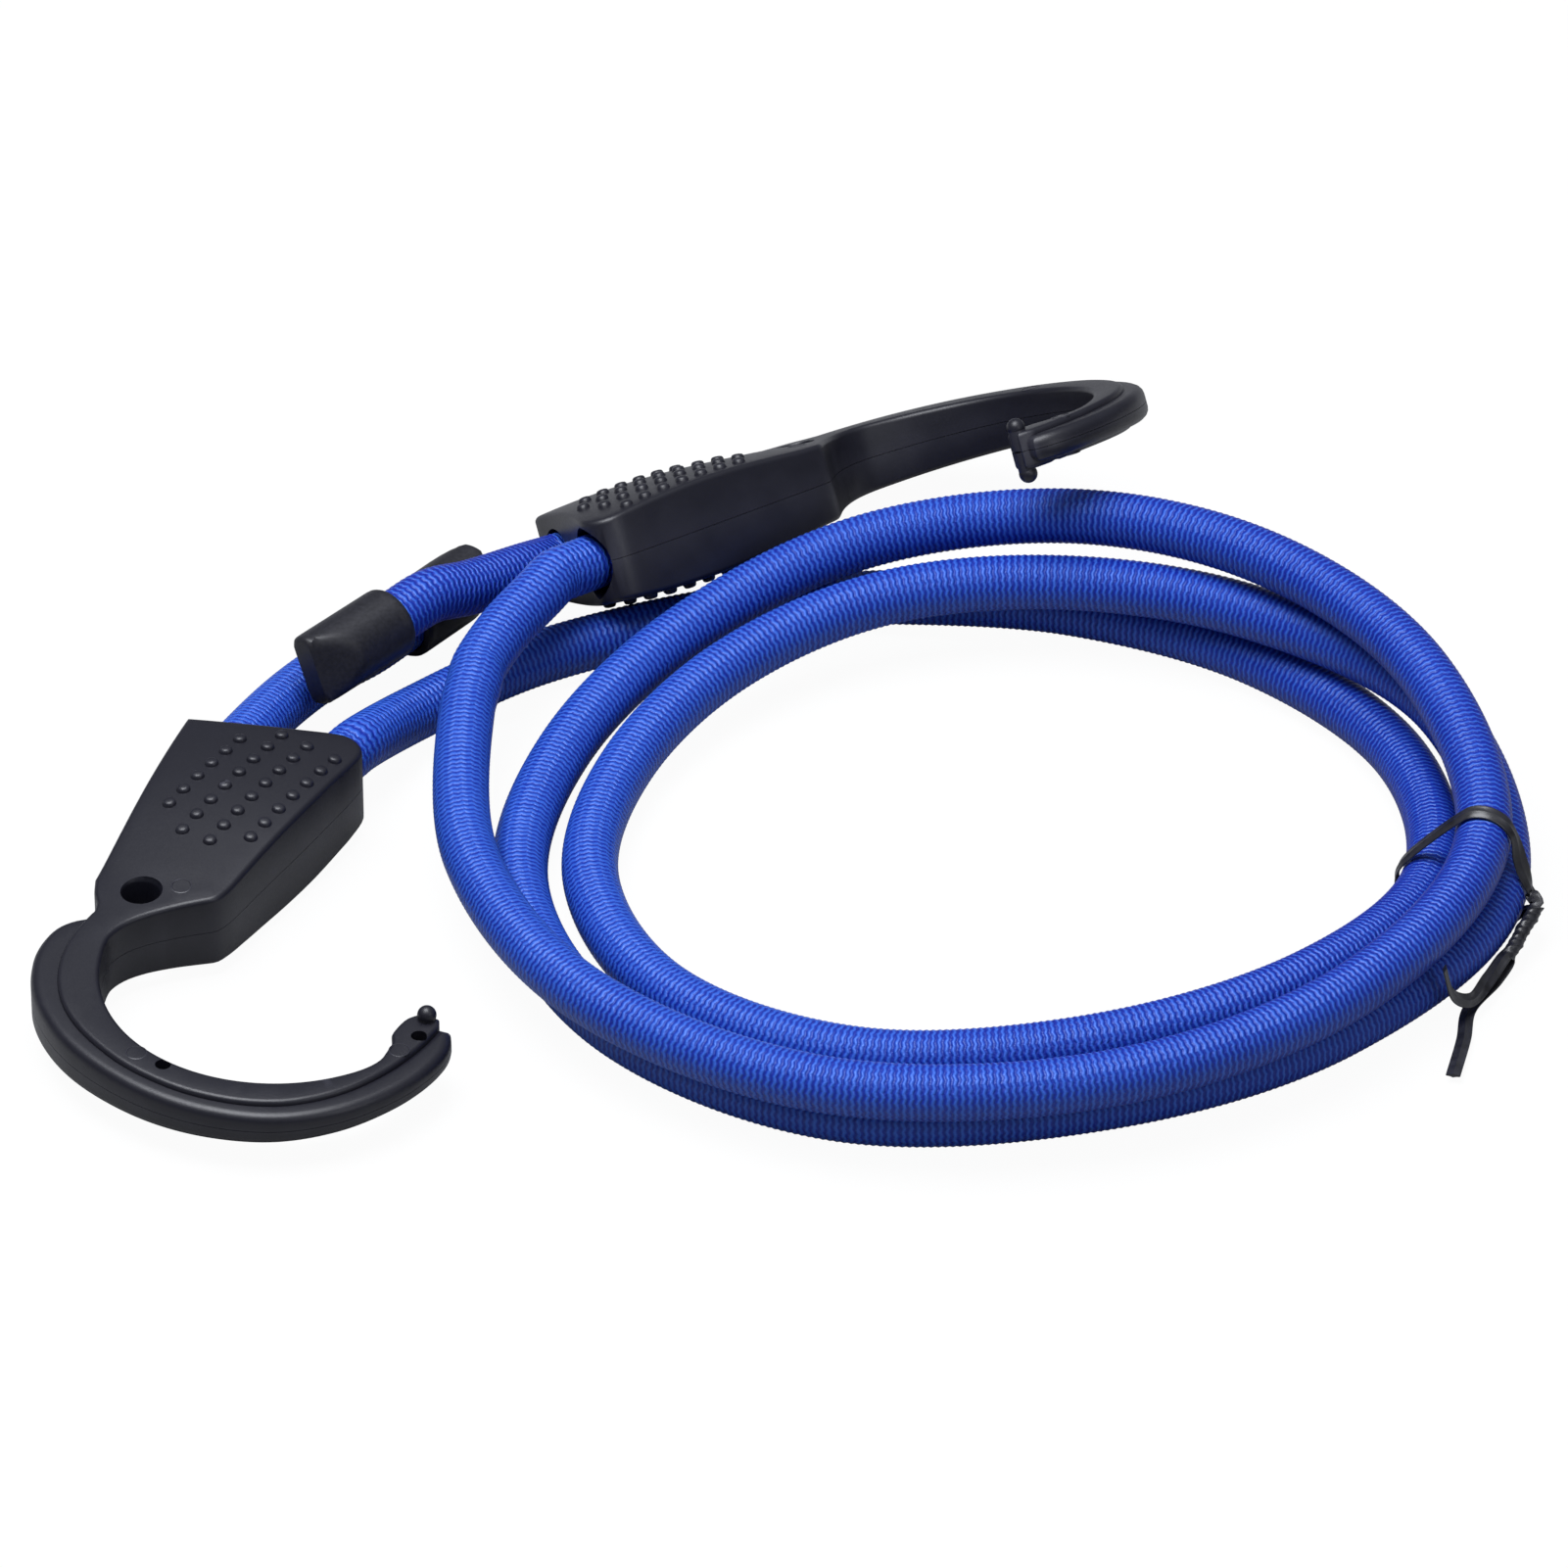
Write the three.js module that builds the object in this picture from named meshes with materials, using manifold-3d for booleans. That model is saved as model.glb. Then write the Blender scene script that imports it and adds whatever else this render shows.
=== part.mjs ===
// A travel clothesline: one elastic cord, doubled through a moulded hook at each end, with its
// long stretch wound in a three-turn coil that a twist tie binds. Millimetres, +Z up.
import * as THREE from "three";
import { mergeVertices } from "three/addons/utils/BufferGeometryUtils.js";
import Module from "manifold-3d";

const wasm = await Module();
wasm.setup();

// Cord
const cordDiameter = 10;
const cordStep = 11;
const cordProud = 1.5;

// Clearances, the overrun of every cut, and how near two corners are to be one
const seatGap = 0.3;
const overrun = 2;
const weldTolerance = 0.0002;

// Sides of the round pieces
const cordSides = 10;
const coilSides = 6;
const capSides = 20;
const holeSides = 12;
const dotSides = 6;
const ballSides = 8;
const passageSteps = 17;

// Hook, in its own flat frame: X runs from the cord end to the bend, Y towards the open side,
// Z through its thickness from the joint plane between its two half shells
const bodyLength = 44.6;
const endReach = 3.9;
const endWidth = 33;
const endSlant = 3.5;
const neckWidth = 22.3;
const endCornerRadius = 5;
const bodyHalfThickness = 9.6;
const crownFall = 1;
const neckHalfThickness = 7.2;
const tipHalfThickness = 3.5;
const edgeRound = 0.9;

// Eye of the hook: the open round that takes a rail or a branch
const eyeRadius = 30.2;
const eyeStart = 29.3;
const eyeEdge = 8;
const bandWidth = 7.4;
const flangeWidth = 5;
const flangeStep = 1;
const flangeRound = 1.8;
const flangeBearingStep = 10.75;

// Bearings round the eye: where its arm leaves the throat, is as thin as it gets, and ends
const throatBearing = -133;
const thinBearing = 60;
const tipBearing = 86;

// Bearing of the hang hole, whose middle lies outside the eye's circle
const hangHoleBearing = -114.399;

// Ball studs and the holes of the hook
const studRadius = 1.7;
const bossRadius = 1.6;
const hangHoleRadius = 3.4;
const hangHoleOut = 1.7539;
const pinHoleRadius = 1.4;
const pinHoleDepth = 2.2;

// Grip dots
const dotRadius = 1.25;
const dotHeight = 0.8;

// Cord passage inside the hook: in at one mouth, round a post and out at the other
const channelRadius = cordDiameter / 2 + seatGap;
const tailMouthRadius = 5.8;
const runMouthRadius = 6.6;
const mouthDepth = 3;
const loopRadius = 6.2;
const loopAlong = 20;
const loopAcross = 13.5;
const tailMouthAcross = 7.4;
const runMouthAcross = 26;

// End caps of the cord
const capLength = 21;
const capRadius = 6.6;
const capBoreDepth = 14;
const capFacetDepth = 8;
const capRidgeWidth = 4;
const capEdge = 0.8;

// Twist tie
const tieWidth = 2.6;
const tieThickness = 0.8;
const tieHelixRadius = 0.9;
const tieSlack = 0.3;

const degrees = Math.PI / 180;
const vec = (x, y, z = 0) => new THREE.Vector3(x, y, z);

const plastic = () => new THREE.MeshStandardMaterial({ color: 0x232329, roughness: 0.45, metalness: 0 });
const sleeve = () => new THREE.MeshStandardMaterial({ color: 0x2850c8, roughness: 0.7, metalness: 0 });
const tiePlastic = () => new THREE.MeshStandardMaterial({ color: 0x1a1a1e, roughness: 0.35, metalness: 0 });

// Solids: a closed geometry becomes a manifold solid and back
function toSolid(geometry, matrix = new THREE.Matrix4()) {
  const plain = geometry.clone();
  plain.deleteAttribute("normal");
  plain.deleteAttribute("uv");
  plain.applyMatrix4(matrix);
  const merged = mergeVertices(plain, weldTolerance);
  return new wasm.Manifold(
    new wasm.Mesh({
      numProp: 3,
      vertProperties: merged.attributes.position.array,
      triVerts: new Uint32Array(merged.index.array),
    }),
  );
}

function toGeometry(solid) {
  const mesh = solid.getMesh();
  const geometry = new THREE.BufferGeometry();
  geometry.setAttribute("position", new THREE.BufferAttribute(new Float32Array(mesh.vertProperties), 3));
  geometry.setIndex(new THREE.BufferAttribute(new Uint32Array(mesh.triVerts), 1));
  return geometry.toNonIndexed();
}

// Turns a geometry over the joint plane, faces still outwards
function mirrored(geometry) {
  const flipped = geometry.clone();
  const points = flipped.attributes.position;
  for (let i = 0; i < points.count; i += 3) {
    const a = vec().fromBufferAttribute(points, i);
    const c = vec().fromBufferAttribute(points, i + 2);
    points.setXYZ(i, c.x, c.y, c.z);
    points.setXYZ(i + 2, a.x, a.y, a.z);
  }
  return flipped.applyMatrix4(new THREE.Matrix4().makeScale(1, 1, -1));
}

// A closed skin over rings of the same number of points, with triangulated ends
function loft(rings, faces) {
  const count = rings[0].length;
  const index = [];
  for (let level = 0; level + 1 < rings.length; level++) {
    for (let i = 0; i < count; i++) {
      const a = level * count + i;
      const b = level * count + ((i + 1) % count);
      index.push(a, b, b + count, a, b + count, a + count);
    }
  }
  const top = (rings.length - 1) * count;
  for (const [a, b, c] of faces) {
    index.push(a, c, b);
    index.push(top + a, top + b, top + c);
  }
  const geometry = new THREE.BufferGeometry().setFromPoints(rings.flat());
  geometry.setIndex(index);
  return geometry;
}

function outlineFaces(outline) {
  return THREE.ShapeUtils.triangulateShape(outline, []);
}

// A plain round section, counter-clockwise
function ring(radius, sides) {
  const shape = new THREE.Shape();
  for (let i = 0; i < sides; i++) {
    const angle = (2 * Math.PI * i) / sides;
    const x = radius * Math.cos(angle);
    const y = radius * Math.sin(angle);
    if (i === 0) shape.moveTo(x, y);
    else shape.lineTo(x, y);
  }
  shape.closePath();
  return shape;
}

function tube(points, radius, steps) {
  const path = new THREE.CatmullRomCurve3(points, false, "centripetal");
  return new THREE.ExtrudeGeometry(ring(radius, cordSides), { steps, extrudePath: path });
}

function pathLength(points) {
  return new THREE.CatmullRomCurve3(points, false, "centripetal").getLength();
}

// Sweeps a flat section along points, its width held near the direction given for each point
function ribbon(points, widthDirections, section) {
  const rings = points.map((point, i) => {
    const before = points[Math.max(i - 1, 0)];
    const after = points[Math.min(i + 1, points.length - 1)];
    const along = after.clone().sub(before).normalize();
    const width = widthDirections[i].clone();
    width.addScaledVector(along, -width.dot(along)).normalize();
    const depth = along.clone().cross(width);
    return section.map(([w, d]) => point.clone().addScaledVector(width, w).addScaledVector(depth, d));
  });
  return loft(rings, outlineFaces(section.map(([w, d]) => new THREE.Vector2(w, d))));
}

// The same sweep for a round section, its frame carried along without twist
function windingTube(points, radius, sides) {
  const sideDirection = vec(0, 0, 1);
  const directions = points.map((point, i) => {
    const before = points[Math.max(i - 1, 0)];
    const after = points[Math.min(i + 1, points.length - 1)];
    const along = after.clone().sub(before).normalize();
    sideDirection.addScaledVector(along, -sideDirection.dot(along)).normalize();
    return sideDirection.clone();
  });
  const section = [];
  for (let i = 0; i < sides; i++) {
    const angle = (2 * Math.PI * i) / sides;
    section.push([radius * Math.cos(angle), radius * Math.sin(angle)]);
  }
  return ribbon(points, directions, section);
}

// Least distance between the skins of strands whose points lie further apart along the cord
function leastGap(points, apart) {
  const lengths = [0];
  for (let i = 1; i < points.length; i++) {
    lengths.push(lengths[i - 1] + points[i].distanceTo(points[i - 1]));
  }
  let least = Infinity;
  const nearest = vec();
  const segment = new THREE.Line3();
  for (let i = 0; i < points.length; i++) {
    for (let j = 0; j + 1 < points.length; j++) {
      if (Math.abs(lengths[i] - lengths[j]) < apart || Math.abs(lengths[i] - lengths[j + 1]) < apart) continue;
      segment.set(points[j], points[j + 1]);
      segment.closestPointToPoint(points[i], true, nearest);
      least = Math.min(least, nearest.distanceTo(points[i]) - cordDiameter);
    }
  }
  return least;
}

// Hook outline

const eyeCentre = new THREE.Vector2(eyeStart + eyeRadius, eyeEdge + eyeRadius);

function aroundEye(bearing, radius) {
  const angle = bearing * degrees;
  return new THREE.Vector2(Math.cos(angle), Math.sin(angle)).multiplyScalar(radius).add(eyeCentre);
}

// Width of the flat band outside the eye, and of the flange outside the band, by bearing
const bandShares = [
  [-100, 0.76],
  [-90, 0.87],
  [-78, 0.96],
  [-65, 1],
  [-53, 0.95],
  [-42, 0.83],
  [-20, 0.75],
  [0, 0.77],
  [19, 0.81],
  [36, 0.65],
  [52, 0.42],
  [64, 0.29],
  [76, 0.24],
];
const flangeShares = [
  [-99, 0.15],
  [-96, 0.55],
  [-92, 0.85],
  [-86, 1],
  [-78, 1],
  [-65, 0.85],
  [-45, 0.72],
  [-20, 0.62],
  [0, 0.62],
  [19, 0.64],
  [36, 0.74],
  [52, 0.86],
  [64, 0.9],
  [74, 0.8],
  [80, 0.6],
  [84, 0.35],
];

function bandRadius(bearing) {
  return eyeRadius + bandWidth * shareAt(bandShares, bearing);
}

function shareAt(table, at) {
  let i = 1;
  while (i < table.length - 1 && table[i][0] < at) i++;
  const [from, low] = table[i - 1];
  const [to, high] = table[i];
  const part = THREE.MathUtils.clamp((at - from) / (to - from), 0, 1);
  return THREE.MathUtils.lerp(low, high, part);
}

// The root of the hook opens from the throat into the eye; inside the tip are a nub and a lobe
const rootShares = [
  [throatBearing, 0.71],
  [-126, 0.735],
  [-118, 0.785],
  [-111, 0.84],
  [-104, 0.905],
  [-97, 0.965],
  [-90, 1],
  [-82, 1],
];
const tipInnerShares = [
  [57, 0.983],
  [62, 0.945],
  [67, 0.91],
  [70, 0.865],
  [76, 0.845],
  [82, 0.855],
  [tipBearing, 0.9],
];

// The cord end reaches further back towards the open side: [share of its width, share of its slant]
const cordEndShares = [
  [0, 0],
  [0.2, 0.06],
  [0.4, 0.23],
  [0.62, 0.54],
  [0.85, 1],
];

// The spine runs into the notch: [back from the notch in flange steps, share of its depth]
const notchShares = [
  [2.4, 0.86],
  [5, 0.4],
];

function plateOutline() {
  const points = [];
  const corner = endCornerRadius;
  // cord end, from the spine corner to the rounded corner on the open side
  for (const [across, slant] of cordEndShares.slice(0, -1)) {
    points.push(new THREE.Vector2(-endReach - endSlant * slant, endWidth * across));
  }
  const cornerCentre = new THREE.Vector2(corner - endReach - endSlant, endWidth - corner);
  for (const bearing of [180, 150, 120, 98]) {
    const angle = bearing * degrees;
    points.push(new THREE.Vector2(Math.cos(angle), Math.sin(angle)).multiplyScalar(corner).add(cornerCentre));
  }
  // waisted open side, down to the throat
  const flare = endWidth - neckWidth;
  const waistShares = [
    [0.04, 0.95],
    [0.135, 0.87],
    [0.307, 0.73],
    [0.493, 0.56],
    [0.673, 0.39],
    [0.83, 0.25],
    [0.942, 0.14],
  ];
  for (const [along, rise] of waistShares) {
    points.push(new THREE.Vector2(bodyLength * along, neckWidth + flare * rise));
  }
  points.push(...rootShares.map(([bearing, share]) => aroundEye(bearing, eyeRadius * share)));
  // eye
  for (let bearing = -70; bearing <= 50; bearing += 12) {
    points.push(aroundEye(bearing, eyeRadius));
  }
  points.push(...tipInnerShares.map(([bearing, share]) => aroundEye(bearing, eyeRadius * share)));
  // tip and the outside of the band
  points.push(aroundEye(tipBearing, bandRadius(tipBearing) - edgeRound));
  for (let bearing = tipBearing - 4; bearing > -100; bearing -= 10) {
    points.push(aroundEye(bearing, bandRadius(bearing)));
  }
  // notch where the band meets the straight spine
  const notch = aroundEye(-100, bandRadius(-100));
  points.push(notch);
  for (const [back, depth] of notchShares) {
    points.push(new THREE.Vector2(notch.x - flangeStep * back, notch.y * depth));
  }
  points.push(new THREE.Vector2(bodyLength, 0));
  return points.reverse();
}

function flangeOutline() {
  const bearings = flangeShares.map(([bearing]) => bearing).filter((bearing) => bearing < -65 || bearing > 64);
  for (let bearing = -65; bearing <= 64; bearing += flangeBearingStep) bearings.push(bearing);
  bearings.sort((a, b) => a - b);
  const outer = bearings.map((bearing) =>
    aroundEye(bearing, bandRadius(bearing) + flangeWidth * shareAt(flangeShares, bearing)),
  );
  const inner = bearings.map((bearing) => aroundEye(bearing, (bandRadius(bearing) + eyeRadius) / 2));
  return outer.concat(inner.reverse());
}

// Half thickness of the plate. The body is crowned: [share of its length, share of its height],
// falling away to both sides of a crest. The arm tapers from the neck to where it is thinnest
const crownShares = [
  [-0.2, 0.86],
  [-0.1, 0.915],
  [0, 0.956],
  [0.16, 0.995],
  [0.36, 1],
  [0.54, 0.96],
  [0.72, 0.885],
  [0.88, 0.81],
  [1, 0.76],
];
const crestShare = 0.47;
const armTaperPower = 1.25;
const neckBlendShares = [0.85, 1.15];

function halfThickness(point) {
  const aside = (point.y / endWidth - crestShare) / crestShare;
  const body = bodyHalfThickness * shareAt(crownShares, point.x / bodyLength) - crownFall * aside * aside;
  let bearing = Math.atan2(point.y - eyeCentre.y, point.x - eyeCentre.x) / degrees;
  bearing = THREE.MathUtils.clamp(bearing, throatBearing, thinBearing);
  const left = (thinBearing - bearing) / (thinBearing - throatBearing);
  const arm = THREE.MathUtils.lerp(tipHalfThickness, neckHalfThickness, Math.pow(left, armTaperPower));
  const [blendStart, blendEnd] = neckBlendShares.map((share) => bodyLength * share);
  const blend = THREE.MathUtils.smoothstep(point.x, blendStart, blendEnd);
  return THREE.MathUtils.lerp(body, arm, blend);
}

// Moves each point of an outline inwards, square to its neighbours
function inset(outline, distance) {
  return outline.map((point, i) => {
    const before = outline[(i + outline.length - 1) % outline.length];
    const after = outline[(i + 1) % outline.length];
    const first = point.clone().sub(before).normalize();
    const second = after.clone().sub(point).normalize();
    const normal = new THREE.Vector2(-first.y - second.y, first.x + second.x).normalize();
    const spread = Math.max(0.5, -first.y * normal.x + first.x * normal.y);
    return point.clone().addScaledVector(normal, distance / spread);
  });
}

// One half of a flat moulding: straight wall from the joint plane, rounded into its face; each
// level of the rounding is [share inwards, share below the face]
const roundShares = [
  [0, null],
  [0, 1],
  [0.3, 0.3],
  [1, 0],
];

function halfMoulding(outline, heightAt, round) {
  const rings = roundShares.map(([inward, drop]) =>
    inset(outline, round * inward).map((point, i) => {
      const face = heightAt(outline[i]);
      const height = drop === null ? seatGap / 2 : face - round * drop;
      return vec(point.x, point.y, height);
    }),
  );
  return toSolid(loft(rings, outlineFaces(outline)));
}

// The crowned face of the body: a box whose top follows the crown, clipped to the body's outline
const crownCells = [7, 3];
const crownReachShare = 1.12;

function crownPad(outline) {
  const from = -endReach - endSlant - overrun;
  const length = crownReachShare * bodyLength - from;
  const pad = new THREE.BoxGeometry(length, endWidth + 2 * overrun, bodyHalfThickness / 2, ...crownCells, 1);
  pad.translate(from + length / 2, endWidth / 2, bodyHalfThickness / 4 + seatGap);
  const points = pad.attributes.position;
  for (let i = 0; i < points.count; i++) {
    const point = new THREE.Vector2(points.getX(i), points.getY(i));
    if (points.getZ(i) > bodyHalfThickness / 2) points.setZ(i, halfThickness(point));
  }
  const walls = [seatGap, bodyHalfThickness + overrun].map((height) =>
    inset(outline, edgeRound).map((point) => vec(point.x, point.y, height)),
  );
  return toSolid(pad).intersect(toSolid(loft(walls, outlineFaces(outline))));
}

// Cord passage: straight in from the tail's mouth, round the post, and splayed out to the run's:
// [share of the way to the post, share of the splay]
const splayShares = [0.4, 0.24];

function passagePoints() {
  const points = [];
  const startAcross = loopAcross - loopRadius;
  const endAcross = loopAcross + loopRadius;
  points.push(vec(mouthAlong(tailMouthAcross) - cordProud, tailMouthAcross));
  points.push(vec(loopAlong / 2, (tailMouthAcross + startAcross) / 2));
  for (let bearing = -90; bearing <= 90; bearing += 30) {
    const angle = bearing * degrees;
    points.push(vec(loopAlong + loopRadius * Math.cos(angle), loopAcross + loopRadius * Math.sin(angle)));
  }
  const [splayAlong, splayAcross] = splayShares;
  points.push(vec(loopAlong * splayAlong, THREE.MathUtils.lerp(endAcross, runMouthAcross, splayAcross)));
  points.push(vec(mouthAlong(runMouthAcross) - cordProud, runMouthAcross));
  return points;
}

// Where the slanted cord end lies at a place across the hook
function mouthAlong(across) {
  return -endReach - endSlant * shareAt(cordEndShares, across / endWidth);
}

function passageCut() {
  const points = passagePoints();
  const last = points.length - 1;
  const wayOut = (from, to) => to.clone().sub(from).normalize();
  const ways = [wayOut(points[1], points[0]), wayOut(points[last - 1], points[last])];
  const cutPoints = [
    points[0].clone().addScaledVector(ways[0], overrun),
    ...points.slice(1, last),
    points[last].clone().addScaledVector(ways[1], overrun),
  ];
  let cut = toSolid(tube(cutPoints, channelRadius / Math.cos(Math.PI / cordSides), passageSteps));
  const mouths = [
    [points[0], tailMouthRadius],
    [points[last], runMouthRadius],
  ];
  mouths.forEach(([mouth, radius], i) => {
    const depth = mouthDepth + cordProud + overrun;
    const flare = new THREE.CylinderGeometry(radius, channelRadius, depth, 2 * cordSides);
    const turn = new THREE.Quaternion().setFromUnitVectors(vec(0, 1), ways[i]);
    const centre = mouth.clone().addScaledVector(ways[i], overrun - depth / 2);
    cut = cut.add(toSolid(flare, new THREE.Matrix4().compose(centre, turn, vec(1, 1, 1))));
  });
  return cut;
}

// Grip dots in four columns, each from its first dot to its last:
// [first across, first along, last across, last along, count], as shares of the body
const dotColumnShares = [
  [0.358, 0.035, 0.188, 0.517, 6],
  [0.558, -0.045, 0.331, 0.661, 8],
  [0.72, -0.005, 0.502, 0.695, 8],
  [0.895, 0.034, 0.7, 0.629, 7],
];

function dotPlaces() {
  const places = [];
  for (const [acrossStart, alongStart, acrossEnd, alongEnd, count] of dotColumnShares) {
    for (let i = 0; i < count; i++) {
      const part = i / (count - 1);
      const along = bodyLength * THREE.MathUtils.lerp(alongStart, alongEnd, part);
      const across = endWidth * THREE.MathUtils.lerp(acrossStart, acrossEnd, part);
      places.push(new THREE.Vector2(along, across));
    }
  }
  return places;
}

// Section of a dot, from its foot in the face: [share of its radius, share of its height]
const dotShares = [
  [0, -1],
  [1, -1],
  [1, 0],
  [0.7, 0.72],
  [0, 1],
];

function dot(place) {
  const profile = dotShares.map(([out, up]) => new THREE.Vector2(dotRadius * out, dotHeight * up));
  const dome = new THREE.LatheGeometry(profile, dotSides);
  dome.rotateX(Math.PI / 2);
  dome.translate(place.x, place.y, halfThickness(place));
  return toSolid(dome);
}

function roundCut(place, radius, from, to) {
  const hole = new THREE.CylinderGeometry(radius, radius, to - from, holeSides);
  hole.rotateX(Math.PI / 2);
  hole.translate(place.x, place.y, (from + to) / 2);
  return toSolid(hole);
}

// Stud and pin holes of the arm: [bearing, share of the eye's radius]
const studShare = [84, 0.967];
const pinHoleShares = [
  [-17.5, 1.055],
  [74.5, 1.007],
];

function placeByShare([bearing, share]) {
  return aroundEye(bearing, eyeRadius * share);
}

// One half shell of the hook, from the joint plane outwards; only the upper one has the pin holes
function hookHalf(withPinHoles) {
  let half = halfMoulding(plateOutline(), halfThickness, edgeRound).add(crownPad(plateOutline()));
  half = half.add(halfMoulding(flangeOutline(), (point) => halfThickness(point) - flangeStep, flangeRound));
  for (const place of dotPlaces()) half = half.add(dot(place));
  const stud = placeByShare(studShare);
  const studHeight = tipHalfThickness + bossRadius / 2;
  half = half.add(roundCut(stud, bossRadius, seatGap / 2, studHeight));
  const ball = new THREE.SphereGeometry(studRadius, ballSides, dotSides);
  ball.translate(stud.x, stud.y, studHeight);
  half = half.add(toSolid(ball));
  half = half.subtract(passageCut());
  const through = bodyHalfThickness + overrun;
  const hangHole = aroundEye(hangHoleBearing, eyeRadius + hangHoleOut);
  half = half.subtract(roundCut(hangHole, hangHoleRadius, -through, through));
  if (withPinHoles) {
    for (const place of pinHoleShares.map(placeByShare)) {
      const face = halfThickness(place);
      half = half.subtract(roundCut(place, pinHoleRadius, face - pinHoleDepth, through));
    }
  }
  return toGeometry(half);
}

// Where each hook lies: the near one flat on its lower face, the far one tipped on its spine
const nearHookPlace = { corner: [-107, -9.4, 10.5], turns: [-0.2, 1.4, -107.5] };
const farHookPlace = { corner: [-40, 64.3, 6.8], turns: [149.6, -0.8, 29.9] };

function hookAt({ corner, turns }) {
  const hook = new THREE.Group();
  hook.position.set(...corner);
  hook.rotation.set(...turns.map((turn) => turn * degrees), "ZYX");
  return hook;
}
const nearHook = hookAt(nearHookPlace);
const farHook = hookAt(farHookPlace);

function addMesh(parent, name, geometry, material) {
  const mesh = new THREE.Mesh(geometry, material);
  geometry.computeVertexNormals();
  mesh.name = name;
  parent.add(mesh);
  return mesh;
}

const upperHalf = hookHalf(true);
const lowerHalf = mirrored(hookHalf(false));
const hookedCord = tube(passagePoints(), cordDiameter / 2, passageSteps);

for (const [hook, side] of [
  [nearHook, "near"],
  [farHook, "far"],
]) {
  hook.updateMatrixWorld(true);
  addMesh(hook, `${side}_hook_upper`, upperHalf.clone(), plastic());
  addMesh(hook, `${side}_hook_lower`, lowerHalf.clone(), plastic());
  addMesh(hook, `cord_in_${side}_hook`, hookedCord.clone(), sleeve());
}

// Place and outward direction of a hook's mouth: the tail's or the long run's
function mouth(hook, which) {
  const points = passagePoints();
  const [end, inside] = which === "tail" ? [points[0], points[1]] : [points.at(-1), points.at(-2)];
  const way = end.clone().sub(inside).normalize().transformDirection(hook.matrixWorld);
  return { point: end.clone().applyMatrix4(hook.matrixWorld), way };
}

// Three straight points that lead a cord away from a face it meets
const leadShares = [0, 0.3, 0.6];

function lead({ point, way }, gap) {
  return leadShares.map((share) => point.clone().addScaledVector(way, gap + cordDiameter * share));
}

// Coil: three turns that wind inwards, each given by its radius and height at twelve bearings
const coilCentre = vec(33, -19);
const coilStartBearing = 165;
const bearingStep = 30;
const turnRadii = [
  [91.6, 91, 94.4, 96.6, 94.8, 93.6, 92.6, 82.4, 74.4, 72.7, 72.9, 72.1],
  [74.8, 82.1, 88.6, 91.4, 89, 90.5, 95.8, 86.4, 71.8, 63.5, 60.4, 59.8],
  [62.7, 69.4, 75, 77.7, 78.7, 81, 83.2, 79.4, 73.1, 70.2, 73.6],
];
const turnHeights = [
  [17.1, 13.7, 14.2, 14.5, 15.1, 16, 17.8, 24.3, 26.5, 23.5, 17.7, 11.2],
  [6.9, 5.3, 5.1, 5.1, 6, 5.7, 7.1, 14.4, 15.7, 15, 13.4, 10.1],
  [6.7, 5.2, 5.5, 7.8, 11.2, 11.2, 7.2, 5.2, 5.1, 5.2, 5.1],
];

function coilStations() {
  const heights = turnHeights.flat();
  return turnRadii.flat().map((radius, i) => {
    const angle = (coilStartBearing + bearingStep * i) * degrees;
    return vec(radius * Math.cos(angle), radius * Math.sin(angle), heights[i]).add(coilCentre);
  });
}

// The free stretches: hand-laid points between a hook and the coil, and between a hook and a cap
const farRunPoints = [vec(-44.1, 30.8, 20.2), vec(-50, 21.4, 18.9)];
const nearRunPoints = [vec(-6, 48.5, 5.1), vec(-27, 41.2, 5.1), vec(-47, 31, 5.1), vec(-66.4, 12.6, 6.5)];
const nearTailPoints = [vec(-89.5, 14, 8.2), vec(-82, 26, 7)];
const farTailPoints = [vec(-47, 48.7, 13.4), vec(-56.9, 37.9, 16.8)];
const nearTailCapSeat = { point: vec(-69, 40.6, 6.9), way: vec(0.62, 0.785, 0), ridge: vec(0, 0, 1) };
const farTailCapSeat = {
  point: vec(-70.5, 23.9, 19),
  way: vec(-0.67, -0.74, -0.03),
  ridge: vec(0.28, -0.25, -0.93),
};
for (const seat of [nearTailCapSeat, farTailCapSeat]) seat.way.normalize();

const stations = coilStations();
const wayBetween = (before, at, after) => {
  const onward = after.clone().sub(at).normalize();
  return at.clone().sub(before).normalize().add(onward).normalize();
};
const coilEnds = {
  start: { point: stations[0], way: wayBetween(stations[1], stations[0], farRunPoints.at(-1)) },
  end: { point: stations.at(-1), way: wayBetween(stations.at(-2), stations.at(-1), nearRunPoints[0]) },
};
const turned = ({ point, way }) => ({ point, way: way.clone().negate() });

function coilPoints() {
  const route = [
    ...lead(turned(coilEnds.start), 0),
    ...stations.slice(1, -1),
    ...lead(turned(coilEnds.end), 0).reverse(),
  ];
  return new THREE.CatmullRomCurve3(route, false, "centripetal").getPoints((route.length - 1) * 2);
}

const coilLine = coilPoints();
console.log(`coil: least gap to itself ${leastGap(coilLine, 5 * cordDiameter).toFixed(2)} mm`);

const assembly = new THREE.Group();
assembly.add(nearHook, farHook);
addMesh(assembly, "coil", windingTube(coilLine, cordDiameter / 2, coilSides), sleeve());

const runs = {
  run_to_far_hook: [
    ...lead(mouth(farHook, "run"), seatGap),
    ...farRunPoints,
    ...lead(coilEnds.start, seatGap).reverse(),
  ],
  run_to_near_hook: [
    ...lead(coilEnds.end, seatGap),
    ...nearRunPoints,
    ...lead(mouth(nearHook, "run"), seatGap).reverse(),
  ],
};

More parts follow.
